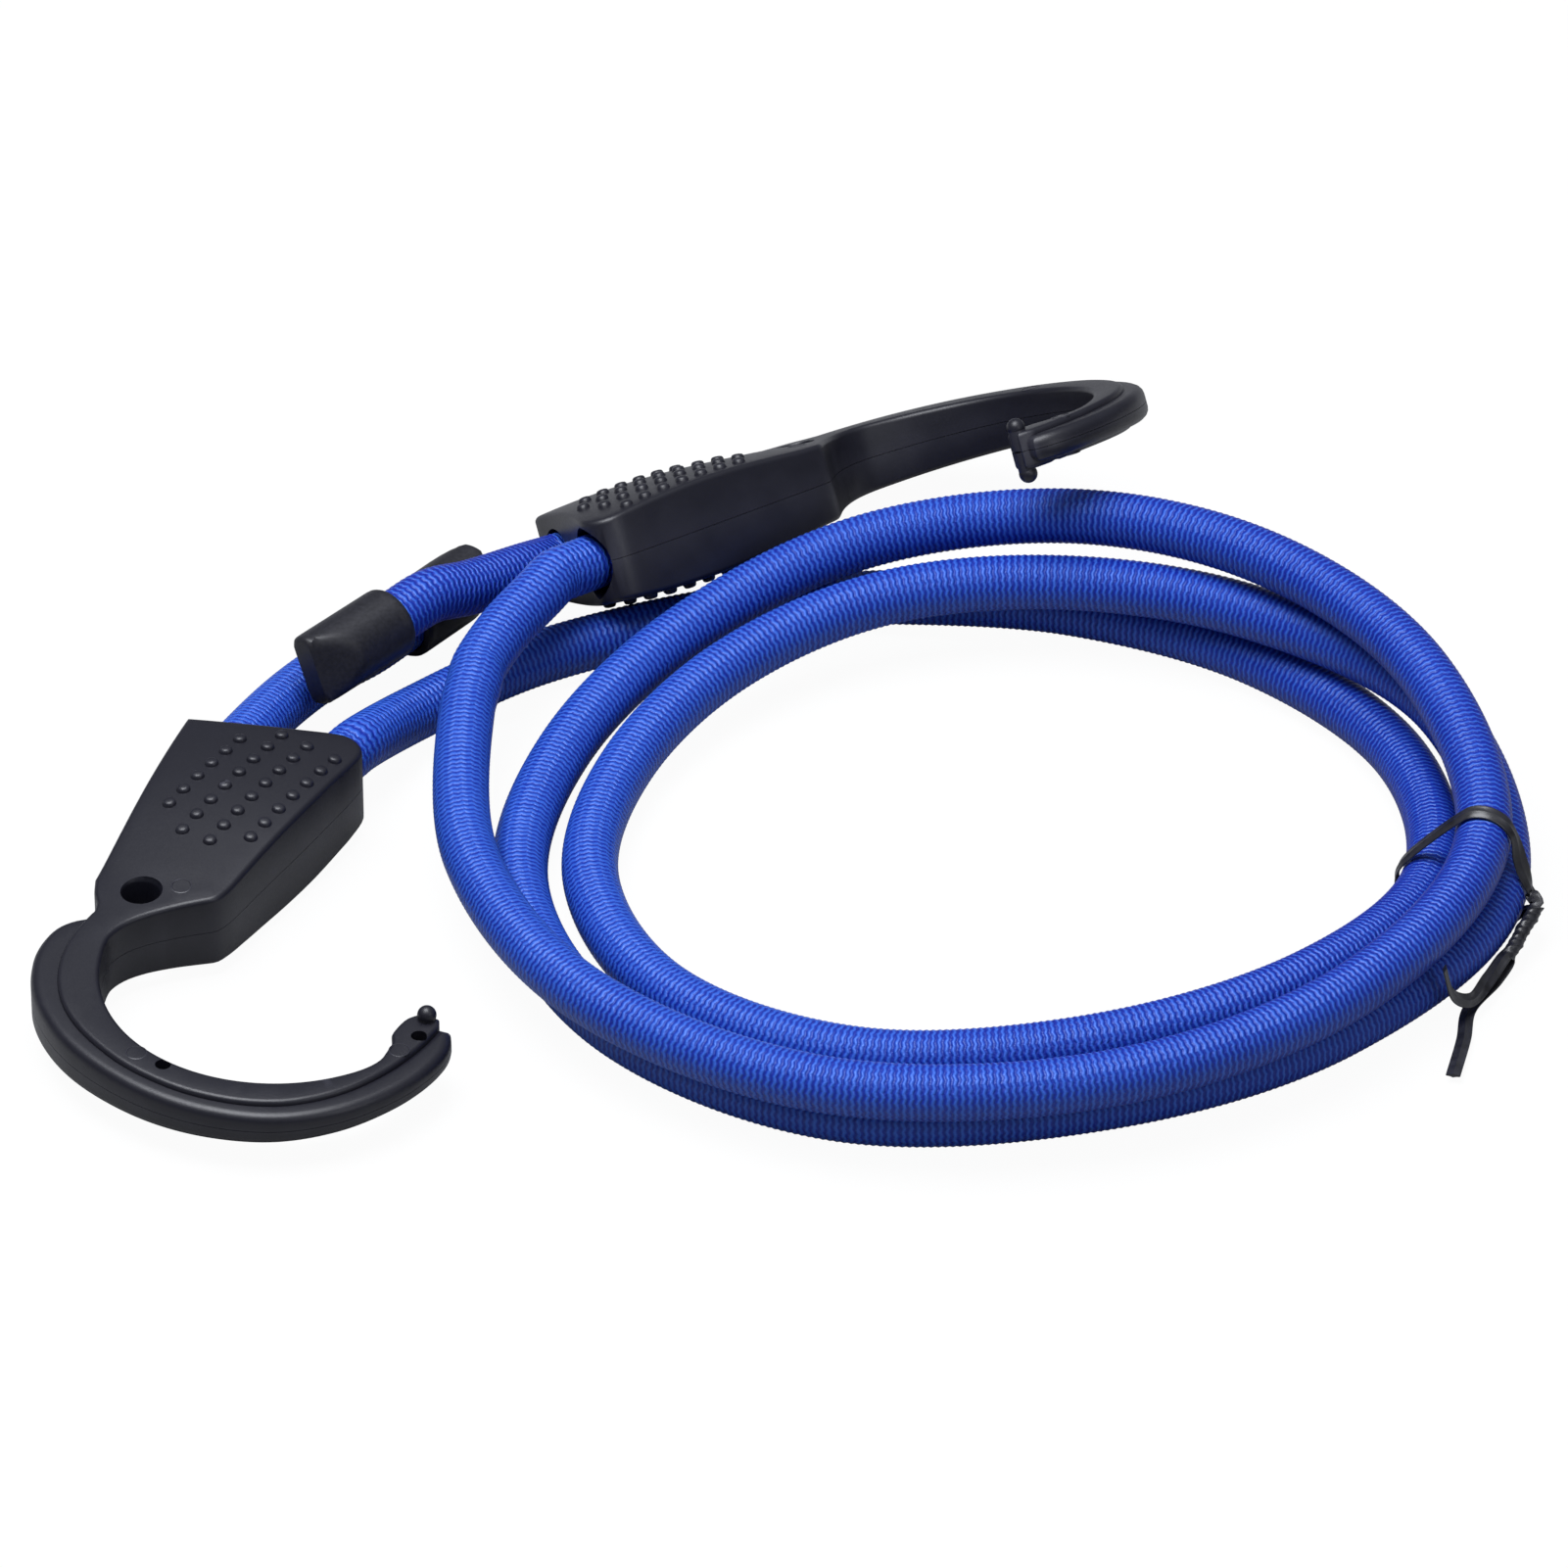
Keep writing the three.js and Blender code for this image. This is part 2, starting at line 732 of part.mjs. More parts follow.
// A tail runs from its mouth to the bottom of the bore in its cap
function tailPoints(hook, between, seat) {
  const depth = capBoreDepth - seatGap;
  const straight = [-cordDiameter, 0, depth / 2, depth];
  return [
    ...lead(mouth(hook, "tail"), seatGap),
    ...between,
    ...straight.map((distance) => seat.point.clone().addScaledVector(seat.way, distance)),
  ];
}
runs.near_tail = tailPoints(nearHook, nearTailPoints, nearTailCapSeat);
runs.far_tail = tailPoints(farHook, farTailPoints, farTailCapSeat);

for (const [name, points] of Object.entries(runs)) {
  const steps = Math.round(pathLength(points) / cordStep);
  addMesh(assembly, name, tube(points, cordDiameter / 2, steps), sleeve());
}

// End cap: a smooth cup with its closed end cut to a ridge by two slanted facets
function capSolid() {
  const bore = cordDiameter / 2 + seatGap;
  const profile = [
    [0, capBoreDepth],
    [bore, capBoreDepth],
    [bore, 0],
    [capRadius - capEdge, 0],
    [capRadius, capEdge],
    [capRadius, capLength - capEdge],
    [capRadius - capEdge, capLength],
    [0, capLength],
  ].map(([r, h]) => new THREE.Vector2(r, h));
  let cap = toSolid(new THREE.LatheGeometry(profile, capSides));
  const reach = capRadius + overrun;
  const drop = (capFacetDepth * (reach - capRidgeWidth / 2)) / (capRadius - capRidgeWidth / 2);
  for (const side of [1, -1]) {
    const wedge = new THREE.Shape();
    wedge.moveTo((side * capRidgeWidth) / 2, capLength);
    wedge.lineTo(side * reach, capLength - drop);
    wedge.lineTo(side * reach, capLength + overrun);
    wedge.lineTo((side * capRidgeWidth) / 2, capLength + overrun);
    const cutter = new THREE.ExtrudeGeometry(wedge, { depth: 2 * reach, bevelEnabled: false });
    cutter.translate(0, 0, -reach);
    cap = cap.subtract(toSolid(cutter));
  }
  return toGeometry(cap);
}

for (const [name, seat] of [
  ["near_tail_cap", nearTailCapSeat],
  ["far_tail_cap", farTailCapSeat],
]) {
  const cap = addMesh(assembly, name, capSolid(), plastic());
  const across = seat.way.clone().cross(seat.ridge).normalize();
  const basis = new THREE.Matrix4().makeBasis(across, seat.way, across.clone().cross(seat.way));
  cap.position.copy(seat.point);
  cap.quaternion.setFromRotationMatrix(basis);
}

// Twist tie: a flat ribbon round the three strands at one bearing, its legs twisted together on
// the outside of the coil and its two ends left free
const tieStationIndex = 6;
const tieAngle = (coilStartBearing + bearingStep * tieStationIndex) * degrees;
const outwards = vec(Math.cos(tieAngle), Math.sin(tieAngle));
const backwards = vec(Math.sin(tieAngle), -Math.cos(tieAngle));
const tiePlace = ([out, up, back]) =>
  vec(coilCentre.x, coilCentre.y, up).addScaledVector(outwards, out).addScaledVector(backwards, back);
const tiedStrands = turnRadii.map((radii, turn) => {
  return [radii[tieStationIndex], turnHeights[turn][tieStationIndex]];
});

// Arc round a strand, between two bearings of its section
function roundStrand([out, up], from, to) {
  const reach = cordDiameter / 2 + seatGap + tieSlack + tieThickness / 2;
  const places = [];
  const count = Math.max(1, Math.round(Math.abs(to - from) / 30));
  for (let i = 0; i <= count; i++) {
    const angle = THREE.MathUtils.lerp(from, to, i / count) * degrees;
    places.push(tiePlace([out + reach * Math.cos(angle), up + reach * Math.sin(angle), 0]));
  }
  return places;
}

// The twisted legs and the two free ends: hand-laid places, [outwards, up, backwards]
const twistTurns = 2;
const [twistStart, twistEnd] = [
  [103.1, 6.6, 2],
  [100.6, 3.4, 14],
].map(tiePlace);
const upperEndPlaces = [
  [99, 3.6, 21],
  [97.4, 4, 29],
  [95, 7.4, 33],
  [93.5, 13, 33.5],
];
const lowerEndPlaces = [
  [99.6, 1.6, 19],
  [97, 1.2, 28],
  [98, 1.2, 37],
  [98.6, 1.2, 48],
];

function twistedLeg(phase) {
  const along = twistEnd.clone().sub(twistStart).normalize();
  const first = vec(0, 0, 1).addScaledVector(along, -along.z).normalize();
  const second = along.clone().cross(first);
  const count = 12 * twistTurns;
  const points = [];
  const widths = [];
  for (let i = 0; i <= count; i++) {
    const part = i / count;
    const angle = 2 * Math.PI * (twistTurns * part + phase);
    const out = first.clone().multiplyScalar(Math.cos(angle)).addScaledVector(second, Math.sin(angle));
    points.push(twistStart.clone().lerp(twistEnd, part).addScaledVector(out, tieHelixRadius));
    widths.push(along.clone().cross(out));
  }
  return { points, widths };
}

// The loop of the tie, arc by arc: [strand, from bearing, to bearing]
const tieArcs = [
  [1, 10, 18],
  [0, 20, 143],
  [2, 150, 270],
  [1, 270, 325],
];

function tieGeometry() {
  const loop = tieArcs.flatMap(([strand, from, to]) => roundStrand(tiedStrands[strand], from, to));
  const upperLeg = twistedLeg(0);
  const lowerLeg = twistedLeg(0.5);
  const upperEnd = upperEndPlaces.map(tiePlace);
  const lowerEnd = lowerEndPlaces.map(tiePlace);
  const flat = (points, width) => points.map(() => width.clone());
  const points = [
    ...upperEnd.reverse(),
    ...upperLeg.points.reverse(),
    ...loop,
    ...lowerLeg.points,
    ...lowerEnd,
  ];
  const widths = [
    ...flat(upperEnd, outwards),
    ...upperLeg.widths.reverse().map((width) => width.negate()),
    ...flat(loop, backwards.clone().negate()),
    ...lowerLeg.widths,
    ...flat(lowerEnd, outwards),
  ];
  const halfWidth = tieWidth / 2;
  const halfDepth = tieThickness / 2;
  const section = [
    [-halfWidth, -halfDepth],
    [halfWidth, -halfDepth],
    [halfWidth, halfDepth],
    [-halfWidth, halfDepth],
  ];
  return ribbon(points, widths, section);
}
addMesh(assembly, "twist_tie", tieGeometry(), tiePlastic());

// The origin is on the surface, under the middle of the two hooks
const part = new THREE.Group();
part.add(assembly);
part.updateMatrixWorld(true);
const hooksBox = new THREE.Box3().setFromObject(nearHook, true);
hooksBox.union(new THREE.Box3().setFromObject(farHook, true));
const middle = hooksBox.getCenter(vec(0, 0));
assembly.position.set(-middle.x, -middle.y, -hooksBox.min.z);

export default part;
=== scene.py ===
import math

import bpy
import numpy as np
from mathutils import Euler, Matrix, Vector
from mathutils.geometry import delaunay_2d_cdt


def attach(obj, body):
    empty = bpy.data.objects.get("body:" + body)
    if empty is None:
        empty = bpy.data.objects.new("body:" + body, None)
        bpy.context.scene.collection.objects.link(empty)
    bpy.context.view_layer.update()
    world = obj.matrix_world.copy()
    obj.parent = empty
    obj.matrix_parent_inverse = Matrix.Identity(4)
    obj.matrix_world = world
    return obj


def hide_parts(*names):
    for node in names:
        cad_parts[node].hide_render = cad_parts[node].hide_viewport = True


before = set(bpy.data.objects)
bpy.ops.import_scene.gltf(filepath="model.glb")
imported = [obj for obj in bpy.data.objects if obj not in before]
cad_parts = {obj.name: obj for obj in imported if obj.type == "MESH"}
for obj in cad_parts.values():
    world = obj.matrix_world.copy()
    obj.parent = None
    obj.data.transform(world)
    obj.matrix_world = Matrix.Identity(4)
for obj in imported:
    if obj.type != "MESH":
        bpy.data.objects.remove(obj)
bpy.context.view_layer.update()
MM = 0.001


# Camera: the photograph's long lens, far off and looking down at the clothesline from the front.
# The routes below have their origin at the place that it looks at.
LOOK_AT = np.array([32.35, 6.51, 0.33])
CAMERA_DISTANCE = 2.5
CAMERA_DOWN = math.radians(34.5)
PIXELS_PER_MM = 5.72
PHOTO_WIDTH = 1601
SENSOR_WIDTH = 36
CLIP_END = 50

camera_data = bpy.data.cameras.new("camera")
camera_data.sensor_width = SENSOR_WIDTH
camera_data.lens = SENSOR_WIDTH * PIXELS_PER_MM * CAMERA_DISTANCE / MM / PHOTO_WIDTH
camera_data.clip_end = CLIP_END
camera = bpy.data.objects.new("camera", camera_data)
away = Vector((0, -math.cos(CAMERA_DOWN), math.sin(CAMERA_DOWN)))
camera.location = Vector(LOOK_AT) * MM + CAMERA_DISTANCE * away
camera.rotation_euler = (math.pi / 2 - CAMERA_DOWN, 0, 0)
bpy.context.scene.collection.objects.link(camera)
bpy.context.scene.camera = camera


# Hooks' places: the near one lies flat, the far one is tipped on its spine. The cord goes into each
# at one mouth, round a post and out at the other, 10 mm thick all along. It leads straight on from
# each mouth, and from the coil's two ends, for a few shares of its thickness.
CORD = 10.0
SEAT_GAP = 0.3
LEAD_SHARES = (0, 0.3, 0.6)
END_REACH, END_SLANT, END_WIDTH = 3.9, 3.5, 33
end_shares = [(0, 0), (0.2, 0.06), (0.4, 0.23), (0.62, 0.54), (0.85, 1)]
hook_places = {
    "near": ((-107, -9.4, 10.5), (-0.2, 1.4, -107.5)),
    "far": ((-40, 64.3, 6.8), (149.6, -0.8, 29.9)),
}
hook_matrices = {
    side: Matrix.Translation(Vector(corner) + Vector(LOOK_AT))
    @ Euler([math.radians(turn) for turn in turns], "XYZ").to_matrix().to_4x4()
    for side, (corner, turns) in hook_places.items()
}
LOOP_RADIUS, LOOP_ALONG, LOOP_ACROSS = 6.2, 20, 13.5
TAIL_MOUTH, RUN_MOUTH, CORD_PROUD = 7.4, 26, 1.5
BEND_ALONG, BEND_LOOP, BEND_MOUTH = 0.4, 0.76, 0.24


def mouth_along(across):
    """How far along the hook its slanted end face lies, at that place across it."""
    return -END_REACH - END_SLANT * np.interp(across / END_WIDTH, *zip(*end_shares))


turn_bearings = np.radians(np.arange(-90, 91, 30))
passage = np.array(
    [(mouth_along(TAIL_MOUTH) - CORD_PROUD, TAIL_MOUTH, 0)]
    + [(LOOP_ALONG / 2, (TAIL_MOUTH + LOOP_ACROSS - LOOP_RADIUS) / 2, 0)]
    + [
        (LOOP_ALONG + LOOP_RADIUS * math.cos(b), LOOP_ACROSS + LOOP_RADIUS * math.sin(b), 0)
        for b in turn_bearings
    ]
    + [(LOOP_ALONG * BEND_ALONG, BEND_LOOP * (LOOP_ACROSS + LOOP_RADIUS) + BEND_MOUTH * RUN_MOUTH, 0)]
    + [(mouth_along(RUN_MOUTH) - CORD_PROUD, RUN_MOUTH, 0)]
)


def unit(v):
    v = np.asarray(v, float)
    return v / np.linalg.norm(v)


def in_hook(side, points):
    """Places in a hook's own flat frame, as places in the row frame, still in millimetres."""
    return np.array([hook_matrices[side] @ Vector(p) for p in points])


def lead_from(place, way):
    """Three points that lead the cord straight on."""
    return np.array([place + way * (SEAT_GAP + CORD * share) for share in LEAD_SHARES])


def mouth(side, which):
    """The passage's last point at one of a hook's mouths, and the way out of it."""
    points = in_hook(side, passage)
    end, before = (points[0], points[1]) if which == "tail" else (points[-1], points[-2])
    return end, unit(end - before)


def out_of_mouth(side, which):
    """The cord's first points out of a hook, from the hook's end face on."""
    end, way = mouth(side, which)
    return np.vstack([end - way * CORD_PROUD, lead_from(end, way)])


# The long stretch of cord: out of the near hook, nearly three turns of the coil from the inside and
# the bottom to the outside and the top, and on to the far hook. The turns are radii and heights at
# bearings one step apart, listed from the far hook's end.
COIL_CENTRE = np.array([33, -19, 0])
COIL_START, BEARING_STEP = 165, 30
turn_radii = [
    [91.6, 91, 94.4, 96.6, 94.8, 93.6, 92.6, 82.4, 74.4, 72.7, 72.9, 72.1],
    [74.8, 82.1, 88.6, 91.4, 89, 90.5, 95.8, 86.4, 71.8, 63.5, 60.4, 59.8],
    [62.7, 69.4, 75, 77.7, 78.7, 81, 83.2, 79.4, 73.1, 70.2, 73.6],
]
turn_heights = [
    [17.1, 13.7, 14.2, 14.5, 15.1, 16, 17.8, 24.3, 26.5, 23.5, 17.7, 11.2],
    [6.9, 5.3, 5.1, 5.1, 6, 5.7, 7.1, 14.4, 15.7, 15, 13.4, 10.1],
    [6.7, 5.2, 5.5, 7.8, 11.2, 11.2, 7.2, 5.2, 5.1, 5.2, 5.1],
]
far_run = np.array([(-44.1, 30.8, 20.2), (-50, 21.4, 18.9)]) + LOOK_AT
near_run = np.array([(-6, 48.5, 5.1), (-27, 41.2, 5.1), (-47, 31, 5.1), (-66.4, 12.6, 6.5)]) + LOOK_AT
stations = []
for i, (radius, height) in enumerate(zip(sum(turn_radii, []), sum(turn_heights, []))):
    bearing = math.radians(COIL_START + BEARING_STEP * i)
    stations.append(
        COIL_CENTRE + LOOK_AT + (radius * math.cos(bearing), radius * math.sin(bearing), height)
    )
coil_start_way = unit(unit(stations[0] - stations[1]) + unit(far_run[-1] - stations[0]))
coil_end_way = unit(unit(stations[-1] - stations[-2]) + unit(near_run[0] - stations[-1]))
route = np.vstack(
    [
        out_of_mouth("far", "run"),
        far_run,
        lead_from(stations[0], coil_start_way)[::-1],
        stations[0],
        stations[0] - coil_start_way * CORD * LEAD_SHARES[-1],
        stations[1:-1],
        stations[-1] - coil_end_way * CORD * LEAD_SHARES[-1],
        stations[-1],
        lead_from(stations[-1], coil_end_way),
        near_run,
        out_of_mouth("near", "run")[::-1],
    ]
)[::-1]


DENSE_STEPS = 40
SHARP_ANGLE = math.radians(35)


def spline(points, spacing):
    """Centripetal spline through the points, as even points about that far apart."""
    p = np.asarray(points, float)
    p = np.vstack([2 * p[0] - p[1], p, 2 * p[-1] - p[-2]])
    t = np.linspace(0, 1, DENSE_STEPS, endpoint=False)[:, None]
    dense = []
    for a, b, c, d in zip(p, p[1:], p[2:], p[3:]):
        u, v, w = (np.linalg.norm(q - r) ** 0.5 for q, r in ((b, a), (c, b), (d, c)))
        start = ((b - a) / u - (c - a) / (u + v) + (c - b) / v) * v
        end = ((c - b) / v - (d - b) / (v + w) + (d - c) / w) * v
        dense.append(
            b * (2 * t**3 - 3 * t**2 + 1)
            + start * (t**3 - 2 * t**2 + t)
            + c * (3 * t**2 - 2 * t**3)
            + end * (t**3 - t**2)
        )
    dense = np.vstack(dense + [p[-2:-1]])
    lengths = np.concatenate([[0], np.cumsum(np.linalg.norm(np.diff(dense, axis=0), axis=1))])
    count = max(2, int(round(lengths[-1] / spacing)) + 1)
    at = np.linspace(0, lengths[-1], count)
    return np.stack([np.interp(at, lengths, dense[:, k]) for k in range(dense.shape[1])], axis=1)


def add_mesh(name, points, faces, material, uvs=None):
    """A smooth-shaded piece from points in millimetres in the row frame, riding on the root."""
    mesh = bpy.data.meshes.new(name)
    mesh.from_pydata((np.asarray(points, float) * MM).tolist(), [], [list(map(int, f)) for f in faces])
    mesh.validate()
    if uvs is not None:
        layer = mesh.uv_layers.new(name="UVMap")
        layer.data.foreach_set("uv", np.asarray(uvs, np.float32).ravel())
    mesh.shade_smooth()
    mesh.set_sharp_from_angle(angle=SHARP_ANGLE)
    mesh.materials.append(material)
    piece = bpy.data.objects.new(name, mesh)
    bpy.context.scene.collection.objects.link(piece)
    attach(piece, "root")
    return piece


# Woven sleeve of the cord: fine crosswise ribs, 1.2 mm apart, in narrow columns that slant in
# turn one way and the other. Crests carry a painted highlight and the grooves between them painted shade.
RIB_PITCH, RIB_SWELL = 1.2, 0.08
SLEEVE_SHARE, SLEEVE_COLUMNS = 0.495, 18
COLUMN_SLANT, RIB_WANDER = 0.42, 0.4
FIRST_SIDE_OFF = (0.3, 0.2, 1)


def new_material(name):
    material = bpy.data.materials.new(name)
    material.use_nodes = True
    return material, material.node_tree.nodes, material.node_tree.links


def math_node(nodes, links, operation, *inputs):
    """A math node; its inputs are numbers or other nodes' sockets."""
    node = nodes.new("ShaderNodeMath")
    node.operation = operation
    for socket, value in zip(node.inputs, inputs):
        if isinstance(value, (int, float)):
            socket.default_value = value
        else:
            links.new(value, socket)
    return node.outputs[0]


def ramp_node(nodes, links, factor, stops):
    """A colour ramp over the factor, with a colour at each stop."""
    node = nodes.new("ShaderNodeValToRGB")
    elements = node.color_ramp.elements
    while len(elements) < len(stops):
        elements.new(0.5)
    for element, (position, colour) in zip(elements, stops):
        element.position = position
        element.color = (*colour, 1)
    links.new(factor, node.inputs[0])
    return node.outputs[0]


def noise_node(nodes, links, vector, scale, detail=3):
    node = nodes.new("ShaderNodeTexNoise")
    node.inputs["Scale"].default_value = scale
    node.inputs["Detail"].default_value = detail
    links.new(vector, node.inputs["Vector"])
    return node.outputs["Fac"]


def add_bump(nodes, links, height, strength, distance):
    """Bumps the material's surface by the height."""
    node = nodes.new("ShaderNodeBump")
    node.inputs["Strength"].default_value = strength
    node.inputs["Distance"].default_value = distance
    links.new(height, node.inputs["Height"])
    links.new(node.outputs[0], nodes["Principled BSDF"].inputs["Normal"])


sleeve, nodes, links = new_material("sleeve")
shader = nodes["Principled BSDF"]
uv = nodes.new("ShaderNodeUVMap")
split = nodes.new("ShaderNodeSeparateXYZ")
links.new(uv.outputs[0], split.inputs[0])
around, along = split.outputs[0], split.outputs[1]
position = nodes.new("ShaderNodeTexCoord").outputs["Object"]
columns = math_node(nodes, links, "MULTIPLY", around, SLEEVE_COLUMNS)
zigzag = math_node(nodes, links, "PINGPONG", columns, 0.5)
jitter = noise_node(nodes, links, position, scale=500)
slanted = math_node(nodes, links, "MULTIPLY_ADD", zigzag, COLUMN_SLANT, along)
wander = math_node(nodes, links, "MULTIPLY_ADD", jitter, RIB_WANDER, slanted)
wave = math_node(nodes, links, "COSINE", math_node(nodes, links, "MULTIPLY", wander, math.tau))
rib = math_node(nodes, links, "MULTIPLY_ADD", wave, -0.5, 0.5)
uneven = noise_node(nodes, links, position, scale=2600, detail=2)
height = math_node(nodes, links, "MULTIPLY_ADD", uneven, 0.5, rib)
add_bump(nodes, links, height, strength=0.9, distance=0.00026)
faded = noise_node(nodes, links, position, scale=60)
# Painted light: rib crests are coloured lighter as a highlight and grooves darker as shade, over a random
# tone.
rib_shade_and_tone = math_node(nodes, links, "MULTIPLY_ADD", faded, 0.3, rib)
blues = [(0.05, (0.002, 0.006, 0.2)), (0.55, (0.006, 0.027, 0.31)), (1.0, (0.024, 0.088, 0.46))]
links.new(ramp_node(nodes, links, rib_shade_and_tone, blues), shader.inputs["Base Color"])
shader.inputs["Roughness"].default_value = 0.42
shader.inputs["Specular IOR Level"].default_value = 0.7
shader.inputs["Specular Tint"].default_value = (0.42, 0.62, 1, 1)


def sleeve_tube(name, points, sides=32):
    """A tube of woven cord: its skin rises and falls by a hair at each rib, for the ragged outline."""
    line = spline(points, RIB_PITCH / 2)
    tangents = np.gradient(line, axis=0)
    tangents /= np.linalg.norm(tangents, axis=1)[:, None]
    side = unit(np.cross(tangents[0], FIRST_SIDE_OFF))
    angles = np.arange(sides) * math.tau / sides
    rings = []
    for i, (centre, tangent) in enumerate(zip(line, tangents)):
        side = unit(side - tangent * side.dot(tangent))
        other = np.cross(tangent, side)
        reach = CORD * SLEEVE_SHARE + (RIB_SWELL if i % 2 else -RIB_SWELL)
        rings.append(centre + reach * (np.cos(angles)[:, None] * side + np.sin(angles)[:, None] * other))
    points = np.vstack(rings + [line[:1], line[-1:]])
    count = len(line)
    i = np.repeat(np.arange(count - 1), sides)
    k = np.tile(np.arange(sides), count - 1)
    here, on = i * sides + k, i * sides + (k + 1) % sides
    quads = np.stack([here, on, on + sides, here + sides], axis=1)
    uvs = np.stack(
        [
            np.stack([k / sides, i / 2], axis=1),
            np.stack([(k + 1) / sides, i / 2], axis=1),
            np.stack([(k + 1) / sides, (i + 1) / 2], axis=1),
            np.stack([k / sides, (i + 1) / 2], axis=1),
        ],
        axis=1,
    ).reshape(-1, 2)
    faces = quads.tolist()
    first, last = count * sides, count * sides + 1
    for k in range(sides):
        faces.append([first, (k + 1) % sides, k])
        faces.append([last, (count - 1) * sides + k, (count - 1) * sides + (k + 1) % sides])
    uvs = np.vstack([uvs, np.zeros((6 * sides, 2))])
    return add_mesh(name, points, faces, sleeve, uvs), line


long_cord, long_line = sleeve_tube("long_cord", route)
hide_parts("run_to_near_hook", "coil", "run_to_far_hook")


# Tails: each short end of the cord, from its mouth to the bottom of the bore in its cap.
CAP_BORE = 14
cap_seats = {
    "near": ((-69, 40.6, 6.9), (0.62, 0.785, 0), (0, 0, 1)),
    "far": ((-70.5, 23.9, 19), (-0.67, -0.74, -0.03), (0.28, -0.25, -0.93)),
}
tail_between = {"near": [(-89.5, 14, 8.2), (-82, 26, 7)], "far": [(-47, 48.7, 13.4), (-56.9, 37.9, 16.8)]}
for side, (seat, way, ridge) in cap_seats.items():
    bottom = CAP_BORE - SEAT_GAP
    in_cap = [np.array(seat) + LOOK_AT + unit(way) * reach for reach in (-CORD, 0, bottom / 2, bottom)]
    tail_route = np.vstack([out_of_mouth(side, "tail")[:2], np.array(tail_between[side]) + LOOK_AT, in_cap])
    sleeve_tube(f"{side}_tail_cord", tail_route)
    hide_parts(f"{side}_tail")


# The turn of the cord inside each hook, seen only at the mouths.
for side in hook_places:
    turn_route = in_hook(side, passage)
    for which, end in (("tail", 0), ("run", -1)):
        turn_route[end] -= mouth(side, which)[1] * CORD_PROUD
    turn, _ = sleeve_tube(f"{side}_hook_cord", turn_route)
    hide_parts(f"cord_in_{side}_hook")


# Moulded plastic of the hooks: near-black, satin, with an even fine grain, lighter on sharp edges and
# on the dots (partly rubbed wear, partly a painted highlight) and a touch darker in creases (painted
# shade).
hook_plastic, nodes, links = new_material("hook_plastic")
shader = nodes["Principled BSDF"]
position = nodes.new("ShaderNodeTexCoord").outputs["Object"]
grain = noise_node(nodes, links, position, scale=2300, detail=4)
swell = noise_node(nodes, links, position, scale=140, detail=2)
height = math_node(nodes, links, "MULTIPLY_ADD", swell, 2.0, grain)
add_bump(nodes, links, height, strength=0.35, distance=0.00005)
# Pointiness lightens sharp edges and dots, partly as rubbed wear and partly as a painted highlight. Creases
# come out a touch darker as painted shade.
pointiness = nodes.new("ShaderNodeNewGeometry").outputs["Pointiness"]
rubbed_wear_and_edge_highlight = math_node(nodes, links, "MULTIPLY_ADD", swell, 0.05, pointiness)
blacks = [(0.45, (0.004, 0.004, 0.007)), (0.56, (0.006, 0.006, 0.011)), (0.64, (0.026, 0.026, 0.036))]
links.new(ramp_node(nodes, links, rubbed_wear_and_edge_highlight, blacks), shader.inputs["Base Color"])
rough = math_node(nodes, links, "MULTIPLY_ADD", grain, 0.16, 0.32)
links.new(rough, shader.inputs["Roughness"])
shader.inputs["Specular IOR Level"].default_value = 0.4


# Hook half shells: outline, bands and shares as moulded, in the hook's own flat frame, drawn with
# smooth curves, rounded edges, a crowned face, dots, studs, holes and shallow ejector marks. Shares
# along the arm are of a size at a bearing round the eye, in degrees.
BODY_LENGTH, NECK_WIDTH, END_CORNER = 44.6, 22.3, 5
BODY_HALF, CROWN_FALL, NECK_HALF, TIP_HALF = 9.6, 1, 7.2, 3.5
EYE_RADIUS, BAND, FLANGE, FLANGE_STEP, FLANGE_ROUND = 30.2, 7.4, 5, 1, 1.8
EYE = np.array([59.5, 38.2])
THROAT, NOTCH, THIN, TIP = -133, -100, 60, 86
CROWN_MIDDLE, ARM_TAPER = 0.47, 1.25
BLEND_FROM, BLEND_LENGTH = 0.85, 0.3
EDGE_ROUND = 0.9
JOINT_GAP = 0.05
CURVE_STEP, SPINE_STEP, HIDDEN_STEP = 1.1, 1.4, 1.6
band_shares = [
    (NOTCH, 0.76), (-90, 0.87), (-78, 0.96), (-65, 1), (-53, 0.95), (-42, 0.83), (-20, 0.75), (0, 0.77),
    (19, 0.81), (36, 0.65), (52, 0.42), (64, 0.29), (76, 0.24),
]
flange_shares = [
    (-99, 0.15), (-96, 0.55), (-92, 0.85), (-86, 1), (-78, 1), (-65, 0.85), (-45, 0.72), (-20, 0.62),
    (0, 0.62), (19, 0.64), (36, 0.74), (52, 0.86), (64, 0.9), (74, 0.8), (80, 0.6), (84, 0.35),
]
root_shares = [
    (THROAT, 0.71), (-126, 0.735), (-118, 0.785), (-111, 0.84), (-104, 0.905), (-97, 0.965), (-90, 1),
    (-82, 1),
]
tip_inner_shares = [(57, 0.983), (62, 0.945), (67, 0.91), (70, 0.865), (76, 0.845), (82, 0.855), (TIP, 0.9)]
waist_shares = [
    (0.04, 0.95), (0.135, 0.87), (0.307, 0.73), (0.493, 0.56), (0.673, 0.39), (0.83, 0.25), (0.942, 0.14),
]
spine_shares = [(2.4, 0.86), (5, 0.4)]
corner_bearings = (180, 160, 140, 120, 98)
crown_shares = [
    (-0.2, 0.86), (-0.1, 0.915), (0, 0.956), (0.16, 0.995), (0.36, 1), (0.54, 0.96), (0.72, 0.885),
    (0.88, 0.81), (1, 0.76), (1.3, 0.66),
]
CROWN_SCALE = 100
crown_curve = spline([(a * CROWN_SCALE, b * CROWN_SCALE, 0) for a, b in crown_shares], 0.5) / CROWN_SCALE


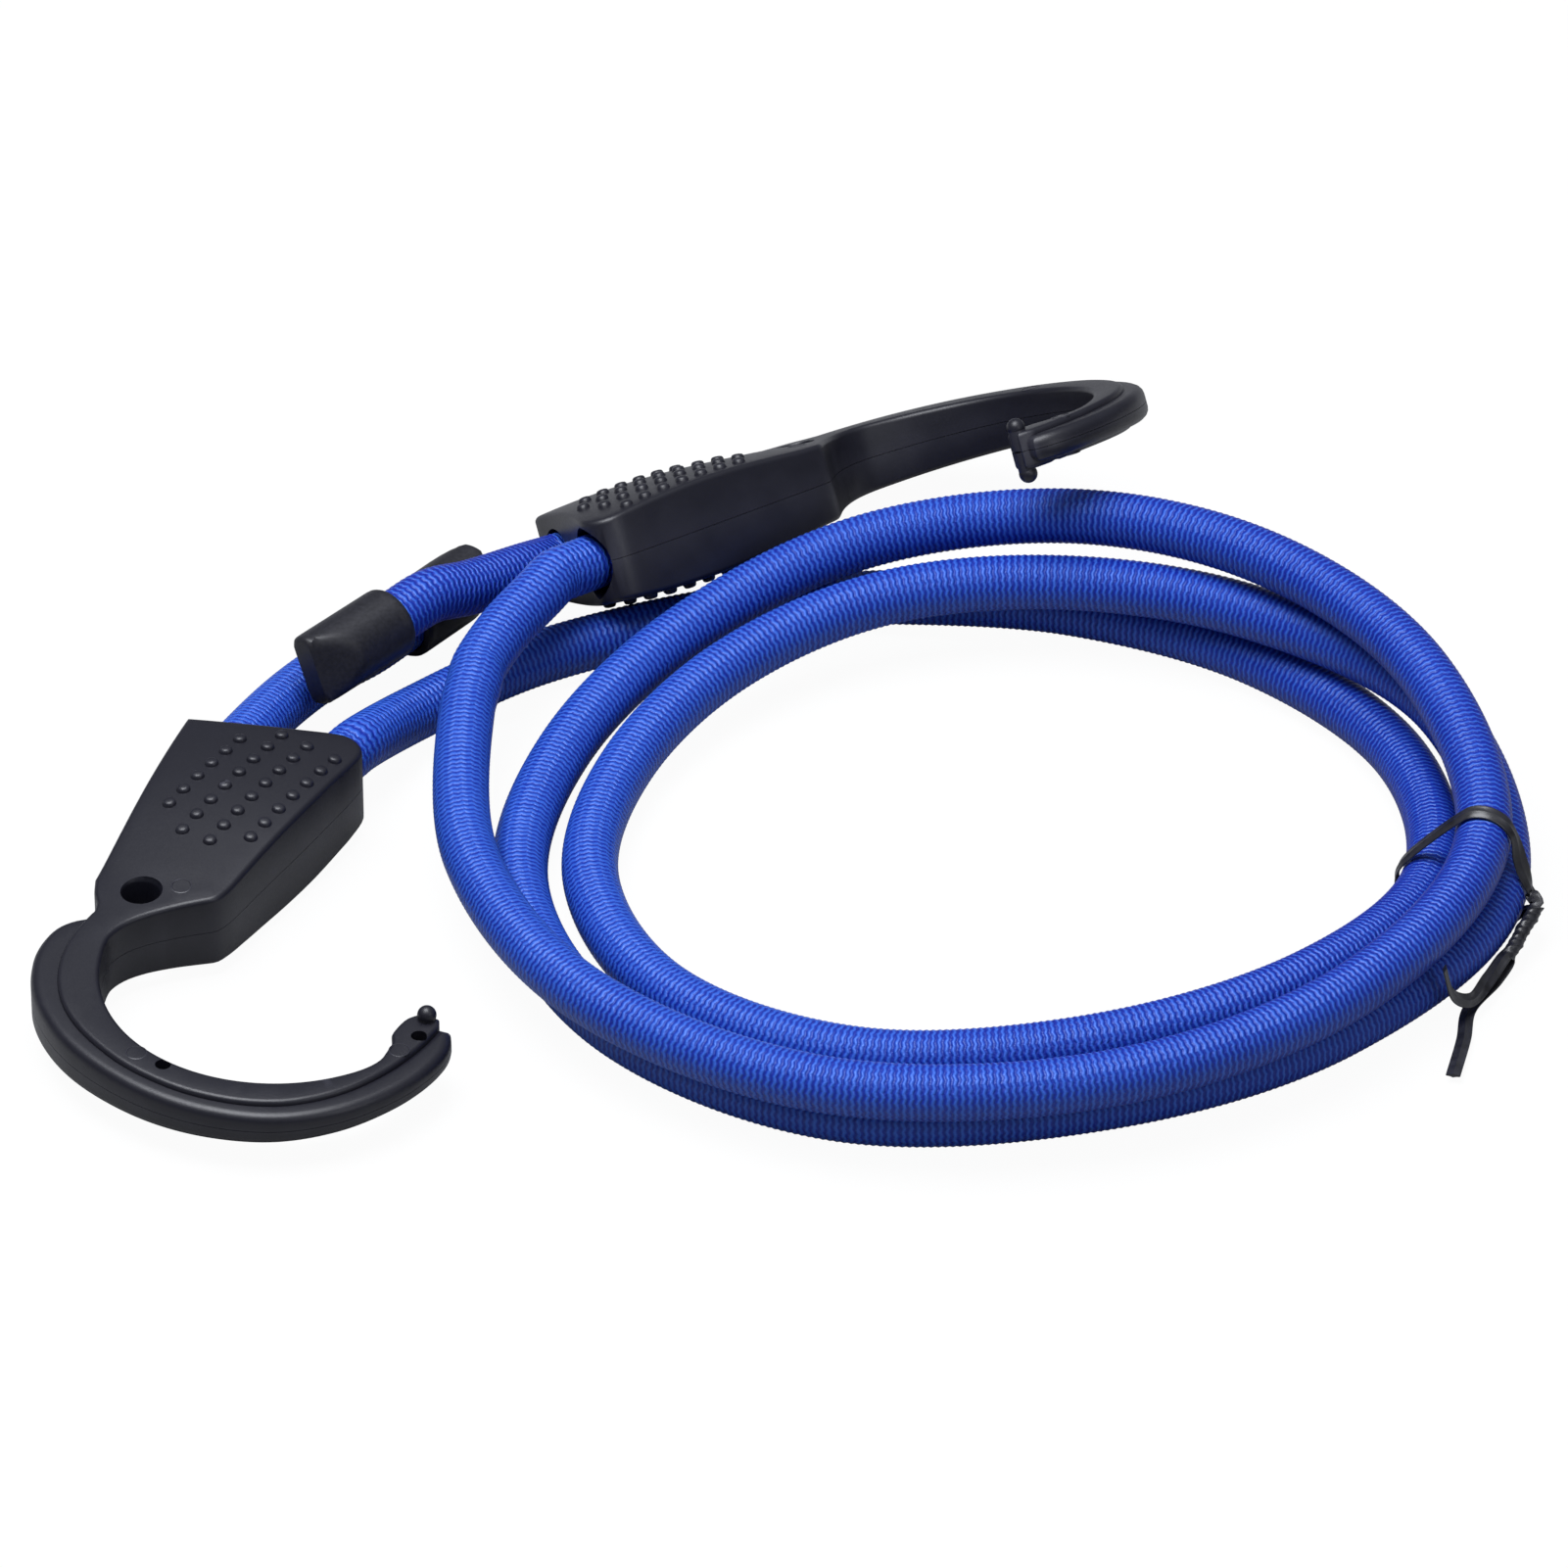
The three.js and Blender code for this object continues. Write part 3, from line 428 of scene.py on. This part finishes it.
def around_eye(bearing, radius):
    """A place of the hook's flat frame, at a bearing and a radius from the middle of its eye."""
    angle = math.radians(bearing)
    return EYE + radius * np.array([math.cos(angle), math.sin(angle)])


def band_radius(bearing):
    return EYE_RADIUS + BAND * np.interp(bearing, *zip(*band_shares))


def half_thickness(points):
    """Height of the face above the joint plane: body to neck, and on along the arm to the tip."""
    x, y = np.asarray(points, float).T[:2]
    body = BODY_HALF * np.interp(x / BODY_LENGTH, crown_curve[:, 0], crown_curve[:, 1])
    body = body - CROWN_FALL * ((y / END_WIDTH - CROWN_MIDDLE) / CROWN_MIDDLE) ** 2
    bearing = np.clip(np.degrees(np.arctan2(y - EYE[1], x - EYE[0])), THROAT, THIN)
    arm = TIP_HALF + (NECK_HALF - TIP_HALF) * ((THIN - bearing) / (THIN - THROAT)) ** ARM_TAPER
    blend = np.clip((x - BODY_LENGTH * BLEND_FROM) / (BODY_LENGTH * BLEND_LENGTH), 0, 1)
    blend = blend * blend * (3 - 2 * blend)
    return body + (arm - body) * blend


def plate_outline():
    """The hook's outline but for the flange, from the cord's end round the eye and back along the spine."""
    inner = [(-END_REACH - END_SLANT * slant, END_WIDTH * across) for across, slant in end_shares[:-1]]
    centre = np.array([END_CORNER - END_REACH - END_SLANT, END_WIDTH - END_CORNER])
    for bearing in corner_bearings:
        angle = math.radians(bearing)
        inner.append(centre + END_CORNER * np.array([math.cos(angle), math.sin(angle)]))
    for along, rise in waist_shares:
        inner.append((BODY_LENGTH * along, NECK_WIDTH + (END_WIDTH - NECK_WIDTH) * rise))
    inner += [around_eye(bearing, EYE_RADIUS * share) for bearing, share in root_shares]
    inner += [around_eye(bearing, EYE_RADIUS) for bearing in range(-70, 51, 12)]
    inner += [around_eye(bearing, EYE_RADIUS * share) for bearing, share in tip_inner_shares]
    tip = [around_eye(TIP, EYE_RADIUS * 0.93), around_eye(TIP, band_radius(TIP) - EDGE_ROUND)]
    outer = [around_eye(bearing, band_radius(bearing)) for bearing in range(TIP - 4, NOTCH, -10)]
    notch = around_eye(NOTCH, band_radius(NOTCH))
    spine = [(notch[0] - FLANGE_STEP * steps, notch[1] * share) for steps, share in spine_shares]
    outline = np.vstack(
        [
            spline(inner, CURVE_STEP),
            tip,
            spline(outer + [notch], CURVE_STEP),
            spline([notch, *spine, (BODY_LENGTH, 0)], CURVE_STEP)[1:-1],
            spline([(BODY_LENGTH, 0), (-END_REACH, 0)], SPINE_STEP)[:-1],
        ]
    )
    return outline[::-1]


def flange_outline():
    """The stepped flange outside the arm, with its inner side hidden in the plate."""
    outer = [around_eye(b, band_radius(b) + FLANGE * share) for b, share in flange_shares]
    inner = [around_eye(b, (band_radius(b) + EYE_RADIUS) / 2) for b, _ in flange_shares]
    return np.vstack([spline(outer, CURVE_STEP), spline(inner[::-1], HIDDEN_STEP)])


def inside(points, outline):
    """Which of the points lie inside the outline."""
    x, y = points[:, 0], points[:, 1]
    hits = np.zeros(len(points), bool)
    for (x0, y0), (x1, y1) in zip(outline, np.roll(outline, -1, axis=0)):
        crosses = (y0 > y) != (y1 > y)
        if crosses.any():
            hits ^= crosses & (x < (x1 - x0) * (y - y0) / (y1 - y0 + 1e-12) + x0)
    return hits


def inset(outline, distance):
    """The outline moved inwards by the distance."""
    before = outline - np.roll(outline, 1, axis=0)
    after = np.roll(outline, -1, axis=0) - outline
    before /= np.linalg.norm(before, axis=1)[:, None]
    after /= np.linalg.norm(after, axis=1)[:, None]
    normal = np.stack([-(before + after)[:, 1], (before + after)[:, 0]], axis=1)
    normal /= np.linalg.norm(normal, axis=1)[:, None]
    spread = np.clip(-before[:, 1] * normal[:, 0] + before[:, 0] * normal[:, 1], 0.5, 1)
    return outline + normal * (distance / spread)[:, None]


ROW_SHARE, RIM_CLEAR, CDT_NEARNESS = 0.87, 0.6, 1e-5


def half_moulding(outline, height_at, rounding, spacing=2.0):
    """Closed skin of half a flat moulding: straight wall, rounded edge and an evenly meshed face."""
    count = len(outline)
    rings = [np.column_stack([outline, np.full(count, JOINT_GAP)])]
    for angle in np.radians([0, 22, 45, 67, 90]):
        ring = inset(outline, rounding * (1 - math.cos(angle)))
        rings.append(np.column_stack([ring, height_at(ring) - rounding * (1 - math.sin(angle))]))
    points = [tuple(p) for ring in rings for p in ring]
    faces = []
    for level in range(len(rings) - 1):
        for i in range(count):
            a, b = level * count + i, level * count + (i + 1) % count
            faces.append((a, b, b + count, a + count))
    rim = rings[-1][:, :2]
    low, high = rim.min(axis=0), rim.max(axis=0)
    rows = [
        (x + (row % 2) * spacing / 2, y)
        for row, y in enumerate(np.arange(low[1], high[1], spacing * ROW_SHARE))
        for x in np.arange(low[0], high[0], spacing)
    ]
    grid = np.array(rows)
    grid = grid[inside(grid, inset(rim, spacing * RIM_CLEAR)) & inside(grid, rim)]
    flat = [Vector(p) for p in np.vstack([rim, grid])]
    edges = [(i, (i + 1) % count) for i in range(count)]
    verts, _, tris, origins, _, _ = delaunay_2d_cdt(flat, edges, [], 1, CDT_NEARNESS)
    top = (len(rings) - 1) * count
    index = []
    heights = height_at(np.array([tuple(v) for v in verts]))
    for vert, height, origin in zip(verts, heights, origins):
        rim_origin = [o for o in origin if o < count]
        if rim_origin:
            index.append(top + rim_origin[0])
        else:
            index.append(len(points))
            points.append((vert[0], vert[1], height))
    faces += [tuple(index[i] for i in tri) for tri in tris]
    faces.append(tuple(reversed(range(count))))
    return points, faces


def lathe(profile, sides):
    """Closed skin of a profile that starts and ends on the axis, turned about +Z."""
    points = [(0, 0, profile[0][1])]
    faces = []
    rows = profile[1:-1]
    for radius, height in rows:
        for k in range(sides):
            angle = math.tau * k / sides
            points.append((radius * math.cos(angle), radius * math.sin(angle), height))
    points.append((0, 0, profile[-1][1]))
    last = len(points) - 1
    for k in range(sides):
        n = (k + 1) % sides
        faces.append((0, 1 + n, 1 + k))
        for row in range(len(rows) - 1):
            a = 1 + row * sides
            faces.append((a + k, a + n, a + n + sides, a + k + sides))
        a = 1 + (len(rows) - 1) * sides
        faces.append((a + k, a + n, last))
    return points, faces


def moved(shape, place):
    """The shape put at that place."""
    points, faces = shape
    return [tuple(np.asarray(p) + place) for p in points], faces


def joined(shapes):
    """All the shapes as one list of points and one of faces."""
    points, faces = [], []
    for more_points, more_faces in shapes:
        start = len(points)
        points += more_points
        faces += [tuple(start + i for i in face) for face in more_faces]
    return points, faces


def plain_object(name, shape):
    mesh = bpy.data.meshes.new(name)
    mesh.from_pydata([tuple(map(float, p)) for p in shape[0]], [], shape[1])
    piece = bpy.data.objects.new(name, mesh)
    bpy.context.scene.collection.objects.link(piece)
    return piece


def less(shape, cutters):
    """The shape with the cutters taken out of it."""
    body = plain_object("uncut", shape)
    pieces = [body]
    for cutter in cutters:
        tool = plain_object("cutter", cutter)
        modifier = body.modifiers.new("cut", "BOOLEAN")
        modifier.solver = "EXACT"
        modifier.operation = "DIFFERENCE"
        modifier.object = tool
        pieces.append(tool)
    done = bpy.data.meshes.new_from_object(body.evaluated_get(bpy.context.evaluated_depsgraph_get()))
    points = [tuple(v.co) for v in done.vertices]
    faces = [tuple(p.vertices) for p in done.polygons]
    for piece in pieces:
        bpy.data.objects.remove(piece)
    return points, faces


def ring_faces(rings, sides):
    """Faces of a closed skin over that many rings of that many points each."""
    faces = [tuple(reversed(range(sides))), tuple(range((rings - 1) * sides, rings * sides))]
    for ring in range(rings - 1):
        for k in range(sides):
            a, b = ring * sides + k, ring * sides + (k + 1) % sides
            faces.append((a, b, b + sides, a + sides))
    return faces


def smooth_tube(points, radii, sides=30):
    """Plain tube along points, with a radius at each. With 32 sides the exact cut leaves no hook."""
    tangents = np.gradient(points, axis=0)
    side = np.array([0.0, 0.0, 1.0])
    out = []
    for centre, tangent, radius in zip(points, tangents, radii):
        tangent = unit(tangent)
        side = unit(side - tangent * side.dot(tangent))
        other = np.cross(tangent, side)
        for k in range(sides):
            angle = math.tau * k / sides
            out.append(tuple(centre + radius * (math.cos(angle) * side + math.sin(angle) * other)))
    return out, ring_faces(len(points), sides)


OVERRUN, CUT_STEP = 2, 1.0
tail_end = passage[0] + unit(passage[0] - passage[1]) * OVERRUN
run_end = passage[-1] + unit(passage[-1] - passage[-2]) * OVERRUN
cut_line = spline(np.vstack([tail_end, passage[1:-1], run_end]), CUT_STEP)
steps = np.arange(len(cut_line))
tail_flare = np.interp(steps, [0, 3.5, 4.2, 5.2, 7.5], [6.1, 5.9, 5.6, 5.4, 5.3])
run_flare = np.interp(steps[::-1], [0, 3.3, 4.2, 5.4, 7, 10], [7.1, 6.8, 6.3, 5.9, 5.6, 5.3])
flare = np.maximum(tail_flare, run_flare)
passage_cut = smooth_tube(cut_line, flare)

dot_shares = [
    (0.358, 0.035, 0.188, 0.517, 6),
    (0.558, -0.045, 0.331, 0.661, 8),
    (0.72, -0.005, 0.502, 0.695, 8),
    (0.895, 0.034, 0.7, 0.629, 7),
]
dot_profile = [
    (0, -0.5), (1.28, -0.5), (1.28, -0.02), (1.22, 0.12), (1.12, 0.5), (0.9, 0.72), (0.5, 0.82), (0, 0.84),
]
dot_places = []
for across_from, along_from, across_to, along_to, count in dot_shares:
    for t in np.linspace(0, 1, count):
        along = BODY_LENGTH * (along_from + (along_to - along_from) * t)
        across = END_WIDTH * (across_from + (across_to - across_from) * t)
        dot_places.append(np.array([along, across]))

stud = around_eye(84, EYE_RADIUS * 0.967)
BALL, BOSS, STUD_RISE = 1.7, 1.6, TIP_HALF + 0.8
ball_profile = [(BALL * math.sin(a), STUD_RISE - BALL * math.cos(a)) for a in np.linspace(0, math.pi, 14)]
boss_profile = [(0, 0.2), (BOSS, 0.2), (BOSS, STUD_RISE - 0.6), (BOSS - 0.1, STUD_RISE), (0, STUD_RISE)]
pin_holes = [around_eye(-17.5, EYE_RADIUS * 1.055), around_eye(74.5, EYE_RADIUS * 1.007)]
hang_hole = np.array([46.3, 9.1])
HOLE, PIN, PIN_DEPTH, CUT_TOP = 3.4, 1.4, 2.2, 12
ejector_marks = [(43.4, 15.6), (88.3, 23.2), (72.5, 65.6)]
mark_profile = [
    (0, -0.3), (1.9, -0.3), (1.9, 0.0), (1.8, 0.07), (1.65, 0.07), (1.55, -0.02), (1.5, -0.1), (0, -0.1),
]


def face_of(place):
    """Height of the crowned face at a place."""
    return float(half_thickness([place])[0])


def on_face(shape, place):
    """The shape at a place of the crowned face, each point lifted by the face's height there."""
    points, faces = shape
    flat = np.array(points)[:, :2] + place
    heights = half_thickness(flat)
    return [(x, y, point[2] + height) for (x, y), point, height in zip(flat, points, heights)], faces


def hook_half(with_pin_holes):
    """One half shell above the joint plane, in the hook's own flat frame."""
    plate = half_moulding(plate_outline(), half_thickness, EDGE_ROUND)
    rim = face_of(hang_hole)
    hole = [(0, -1), (HOLE, -1), (HOLE, rim - 0.7), (HOLE + 0.1, rim - 0.35), (HOLE + 0.5, rim + 0.3)]
    hole += [(HOLE + 0.8, CUT_TOP), (0, CUT_TOP)]
    cutters = [passage_cut, moved(lathe(hole, 40), (*hang_hole, 0))]
    if with_pin_holes:
        for place in pin_holes:
            face = face_of(place)
            pin = [(0, face - PIN_DEPTH), (PIN, face - PIN_DEPTH), (PIN, face + 1), (0, face + 1)]
            cutters.append(moved(lathe(pin, 24), (*place, 0)))
    plate = less(plate, cutters)
    flange = half_moulding(
        flange_outline(), lambda p: half_thickness(p) - FLANGE_STEP, FLANGE_ROUND, spacing=1.4
    )
    shapes = [plate, flange]
    for place in dot_places:
        shapes.append(on_face(lathe(dot_profile, 20), place))
    shapes.append(moved(lathe(ball_profile, 24), (*stud, 0)))
    shapes.append(moved(lathe(boss_profile, 24), (*stud, 0)))
    for place in ejector_marks:
        shapes.append(on_face(lathe(mark_profile, 28), place))
    return joined(shapes)


halves = {"upper": hook_half(True), "lower": hook_half(False)}
for side in hook_places:
    for half, (points, faces) in halves.items():
        flip = 1 if half == "upper" else -1
        placed = in_hook(side, [(x, y, z * flip) for x, y, z in points])
        outward = [face[::flip] for face in faces]
        shell = add_mesh(f"{side}_shell_{half}", placed, outward, hook_plastic)
        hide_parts(f"{side}_hook_{half}")


# End caps: a smooth barrel whose closed end is pinched to a ridge between two slanted facets.
CAP_LENGTH, CAP_RADIUS, CAP_FACET, CAP_RIDGE = 21, 6.6, 8, 4
CAP_END_FROM, CAP_END_ROUND, CAP_SIDES, FACET_POWER = 1.1, 1.0, 48, 14
BORE_RADIUS, BORE_BOTTOM = 5.3, CAP_BORE - SEAT_GAP
cap_plastic, nodes, links = new_material("cap_plastic")
shader = nodes["Principled BSDF"]
position = nodes.new("ShaderNodeTexCoord").outputs["Object"]
grain = noise_node(nodes, links, position, scale=1500, detail=4)
add_bump(nodes, links, grain, strength=0.25, distance=0.00005)
blacks = [(0.3, (0.005, 0.005, 0.008)), (0.7, (0.012, 0.012, 0.017))]
links.new(ramp_node(nodes, links, grain, blacks), shader.inputs["Base Color"])
rough = math_node(nodes, links, "MULTIPLY_ADD", grain, 0.15, 0.38)
links.new(rough, shader.inputs["Roughness"])
shader.inputs["Specular IOR Level"].default_value = 0.4

mouth_rows = [(4.0, BORE_BOTTOM), (BORE_RADIUS, BORE_BOTTOM), (BORE_RADIUS, 0.0), (5.8, 0.0)]
mouth_rows += [(6.3, 0.15), (6.55, 0.6), (CAP_RADIUS, 1.2)]
barrel_rows = [(CAP_RADIUS, h) for h in np.linspace(2, CAP_LENGTH - CAP_END_FROM, 30)]
end_rows = [
    (
        CAP_RADIUS - CAP_END_ROUND * (1 - math.cos(a)),
        CAP_LENGTH - CAP_END_FROM + CAP_END_ROUND * math.sin(a),
    )
    for a in np.linspace(0.2, 1.5, 6)
]
cap_rows = mouth_rows + barrel_rows + end_rows
for side, (seat, way, ridge) in cap_seats.items():
    out_way = unit(way)
    across = unit(np.cross(out_way, ridge))
    upright = np.cross(across, out_way)
    seat = np.array(seat) + LOOK_AT
    points = []
    for row, (radius, height) in enumerate(cap_rows):
        rise = np.clip((height - (CAP_LENGTH - CAP_FACET)) / CAP_FACET, 0, 1)
        width = CAP_RADIUS + (CAP_RIDGE / 2 - CAP_RADIUS) * rise
        for k in range(CAP_SIDES):
            angle = math.tau * k / CAP_SIDES
            c, s = math.cos(angle), math.sin(angle)
            reach = radius
            if row >= len(mouth_rows) and abs(c) > 1e-6:
                flat = width / abs(c)
                reach = (radius**-FACET_POWER + flat**-FACET_POWER) ** (-1 / FACET_POWER)
            points.append(seat + out_way * height + across * (reach * c) - upright * (reach * s))
    faces = ring_faces(len(cap_rows), CAP_SIDES)
    cap = add_mesh(f"{side}_end_cap", points, faces, cap_plastic)
    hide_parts(f"{side}_tail_cap")


# Twist tie: a glossy black ribbon with a wire down its middle, round the three strands, its legs
# twisted together outside the coil and its two ends left free. It leans over the strands and turns
# as it goes, so its flat side shows from the front.
TIE_WIDTH, TIE_THICKNESS, TIE_SIDES, WIRE_RISE, WIRE_SPREAD = 2.6, 0.8, 24, 0.2, 0.35
TIE_STATION, TIE_SLACK, TIE_LEAN, TIE_STEP, ARC_STEP = 6, 0.05, 0.45, 0.45, 30
TIE_HELIX, TIE_TURNS, TURN_STEPS = 0.9, 2, 12
tie_plastic, nodes, links = new_material("tie_plastic")
shader = nodes["Principled BSDF"]
position = nodes.new("ShaderNodeTexCoord").outputs["Object"]
creases = noise_node(nodes, links, position, scale=420, detail=4)
add_bump(nodes, links, creases, strength=0.4, distance=0.0002)
blacks = [(0.3, (0.006, 0.006, 0.008)), (0.75, (0.02, 0.02, 0.026))]
links.new(ramp_node(nodes, links, creases, blacks), shader.inputs["Base Color"])
rough = math_node(nodes, links, "MULTIPLY_ADD", creases, 0.2, 0.24)
links.new(rough, shader.inputs["Roughness"])

tie_angle = math.radians(COIL_START + BEARING_STEP * TIE_STATION)
tie_out = np.array([math.cos(tie_angle), math.sin(tie_angle), 0])
tie_back = np.array([math.sin(tie_angle), -math.cos(tie_angle), 0])
tie_up = np.array([0, 0, 1.0])


def tie_place(place):
    """A place given out from the coil's middle, up, and back along the coil from the tie."""
    out, up, back = place
    return COIL_CENTRE + LOOK_AT + tie_out * out + tie_up * up + tie_back * back


def round_strand(turn, start, stop):
    """Places of the ribbon round one strand, between two bearings of the strand's section."""
    reach = CORD / 2 + SEAT_GAP + TIE_SLACK + TIE_THICKNESS / 2
    out, up = turn_radii[turn][TIE_STATION], turn_heights[turn][TIE_STATION]
    count = max(1, round(abs(stop - start) / ARC_STEP))
    bearings = np.radians(np.linspace(start, stop, count + 1))
    return [tie_place((out + reach * math.cos(b), up + reach * math.sin(b), 0)) for b in bearings]


def twisted_leg(phase):
    """Places of one leg in the twist, and the way of the ribbon's width at each."""
    start, end = tie_place((103.1, 6.6, 2)), tie_place((100.6, 3.4, 14))
    way = unit(end - start)
    first = unit(tie_up - way * way[2])
    second = np.cross(way, first)
    places, widths = [], []
    for share in np.linspace(0, 1, TURN_STEPS * TIE_TURNS + 1):
        angle = math.tau * (TIE_TURNS * share + phase)
        out = first * math.cos(angle) + second * math.sin(angle)
        places.append(start + (end - start) * share + out * TIE_HELIX)
        widths.append(np.cross(way, out))
    return places, widths


tie_side = round_strand(1, 10, 18) + [tie_place((99.6, 13.9, 0))]
tie_loop = round_strand(0, 20, 143) + round_strand(2, 150, 270) + round_strand(1, 270, 325)
upper_end = [tie_place(p) for p in [(99, 3.6, 21), (97.4, 4, 29), (95, 7.4, 33), (93.5, 13, 33.5)]]
lower_end = [tie_place(p) for p in [(99.6, 1.6, 19), (97, 1.2, 28), (98, 1.2, 37), (98.6, 1.2, 48)]]
upper_leg, upper_widths = twisted_leg(0)
lower_leg, lower_widths = twisted_leg(0.5)
tie_points = upper_end[::-1] + upper_leg[::-1] + tie_side + tie_loop + lower_leg + lower_end
loop_width = unit(tie_up * TIE_LEAN - tie_back)
side_width = unit(tie_out * 0.86 + tie_up * 0.27 - tie_back * 0.42)
curl_widths = [
    unit(tie_out * out + tie_up * up + tie_back * back)
    for out, up, back in [(0.85, -0.4, 0.3), (0.24, -0.82, 0.52), (0.2, -0.4, 0.9), (0.1, 0, 1)]
]
tie_widths = (
    curl_widths[::-1]
    + [-w for w in upper_widths[::-1]]
    + [loop_width, loop_width, side_width]
    + [loop_width] * len(tie_loop)
    + lower_widths
    + [tie_out] * len(lower_end)
)
keys = np.concatenate([[0], np.cumsum(np.linalg.norm(np.diff(tie_points, axis=0), axis=1))])
tie_line = spline(tie_points, TIE_STEP)
at = np.linspace(0, keys[-1], len(tie_line))
widths = np.stack([np.interp(at, keys, np.array(tie_widths)[:, k]) for k in range(3)], axis=1)
tie_section = []
for k in range(TIE_SIDES):
    angle = math.tau * k / TIE_SIDES
    w = math.copysign(abs(math.cos(angle)) ** 0.6, math.cos(angle)) * TIE_WIDTH / 2
    wire = WIRE_RISE * math.exp(-((w / WIRE_SPREAD) ** 2))
    half = TIE_THICKNESS / 2 - WIRE_RISE + wire
    tie_section.append((w, math.copysign(abs(math.sin(angle)) ** 0.5, math.sin(angle)) * half))
points = []
tangents = np.gradient(tie_line, axis=0)
for centre, tangent, width in zip(tie_line, tangents, widths):
    tangent = unit(tangent)
    width = unit(width - tangent * width.dot(tangent))
    depth = np.cross(tangent, width)
    points += [centre + width * w + depth * d for w, d in tie_section]
faces = ring_faces(len(tie_line), TIE_SIDES)
tie = add_mesh("tie_ribbon", points, faces, tie_plastic)
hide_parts("twist_tie")


# Floor: a plain flat sheet that the camera sees as nearly white, with its shadows kept very faint.
FLOOR_REACH, FLOOR_DROP, CAMERA_WHITE = 6.0, 0.0001, 0.9
floor_material, nodes, links = new_material("floor")
shader = nodes["Principled BSDF"]
shader.inputs["Base Color"].default_value = (0.3, 0.3, 0.3, 1)
shader.inputs["Roughness"].default_value = 0.9
glow = nodes.new("ShaderNodeEmission")
glow.inputs["Strength"].default_value = 1.06
light_path = nodes.new("ShaderNodeLightPath")
mix = nodes.new("ShaderNodeMixShader")
seen = math_node(nodes, links, "MULTIPLY", light_path.outputs["Is Camera Ray"], CAMERA_WHITE)
links.new(seen, mix.inputs[0])
links.new(shader.outputs[0], mix.inputs[1])
links.new(glow.outputs[0], mix.inputs[2])
links.new(mix.outputs[0], nodes["Material Output"].inputs["Surface"])
floor_mesh = bpy.data.meshes.new("floor")
corners = [(x * FLOOR_REACH, y * FLOOR_REACH, -FLOOR_DROP) for x, y in [(-1, -1), (1, -1), (1, 1), (-1, 1)]]
floor_mesh.from_pydata(corners, [], [(0, 1, 2, 3)])
floor_mesh.materials.append(floor_material)
floor = bpy.data.objects.new("floor", floor_mesh)
bpy.context.scene.collection.objects.link(floor)


# Light: a broad soft box overhead and a little to the left and the front, a weak one from the
# front right, and a room that is pale above and dark below.
world = bpy.data.worlds.new("room")
world.use_nodes = True
nodes, links = world.node_tree.nodes, world.node_tree.links
split = nodes.new("ShaderNodeSeparateXYZ")
links.new(nodes.new("ShaderNodeTexCoord").outputs["Generated"], split.inputs[0])
greys = [(0.0, (0.08, 0.08, 0.09)), (0.5, (0.22, 0.23, 0.25)), (1.0, (0.6, 0.62, 0.66))]
links.new(ramp_node(nodes, links, split.outputs[2], greys), nodes["Background"].inputs[0])
bpy.context.scene.world = world
light_aim = Vector((0.03, 0, 0.02))
for name, place, size, power in [
    ("key", (-0.22, -0.05, 1.3), 0.9, 30),
    ("fill", (0.9, -0.9, 0.8), 0.6, 2.5),
]:
    light_data = bpy.data.lights.new(name, "AREA")
    light_data.size = size
    light_data.energy = power
    light_data.color = (0.93, 0.95, 1)
    light = bpy.data.objects.new(name, light_data)
    light.location = place
    light.rotation_euler = (light_aim - Vector(place)).to_track_quat("-Z", "Y").to_euler()
    bpy.context.scene.collection.objects.link(light)
bpy.context.scene.view_settings.view_transform = "Standard"
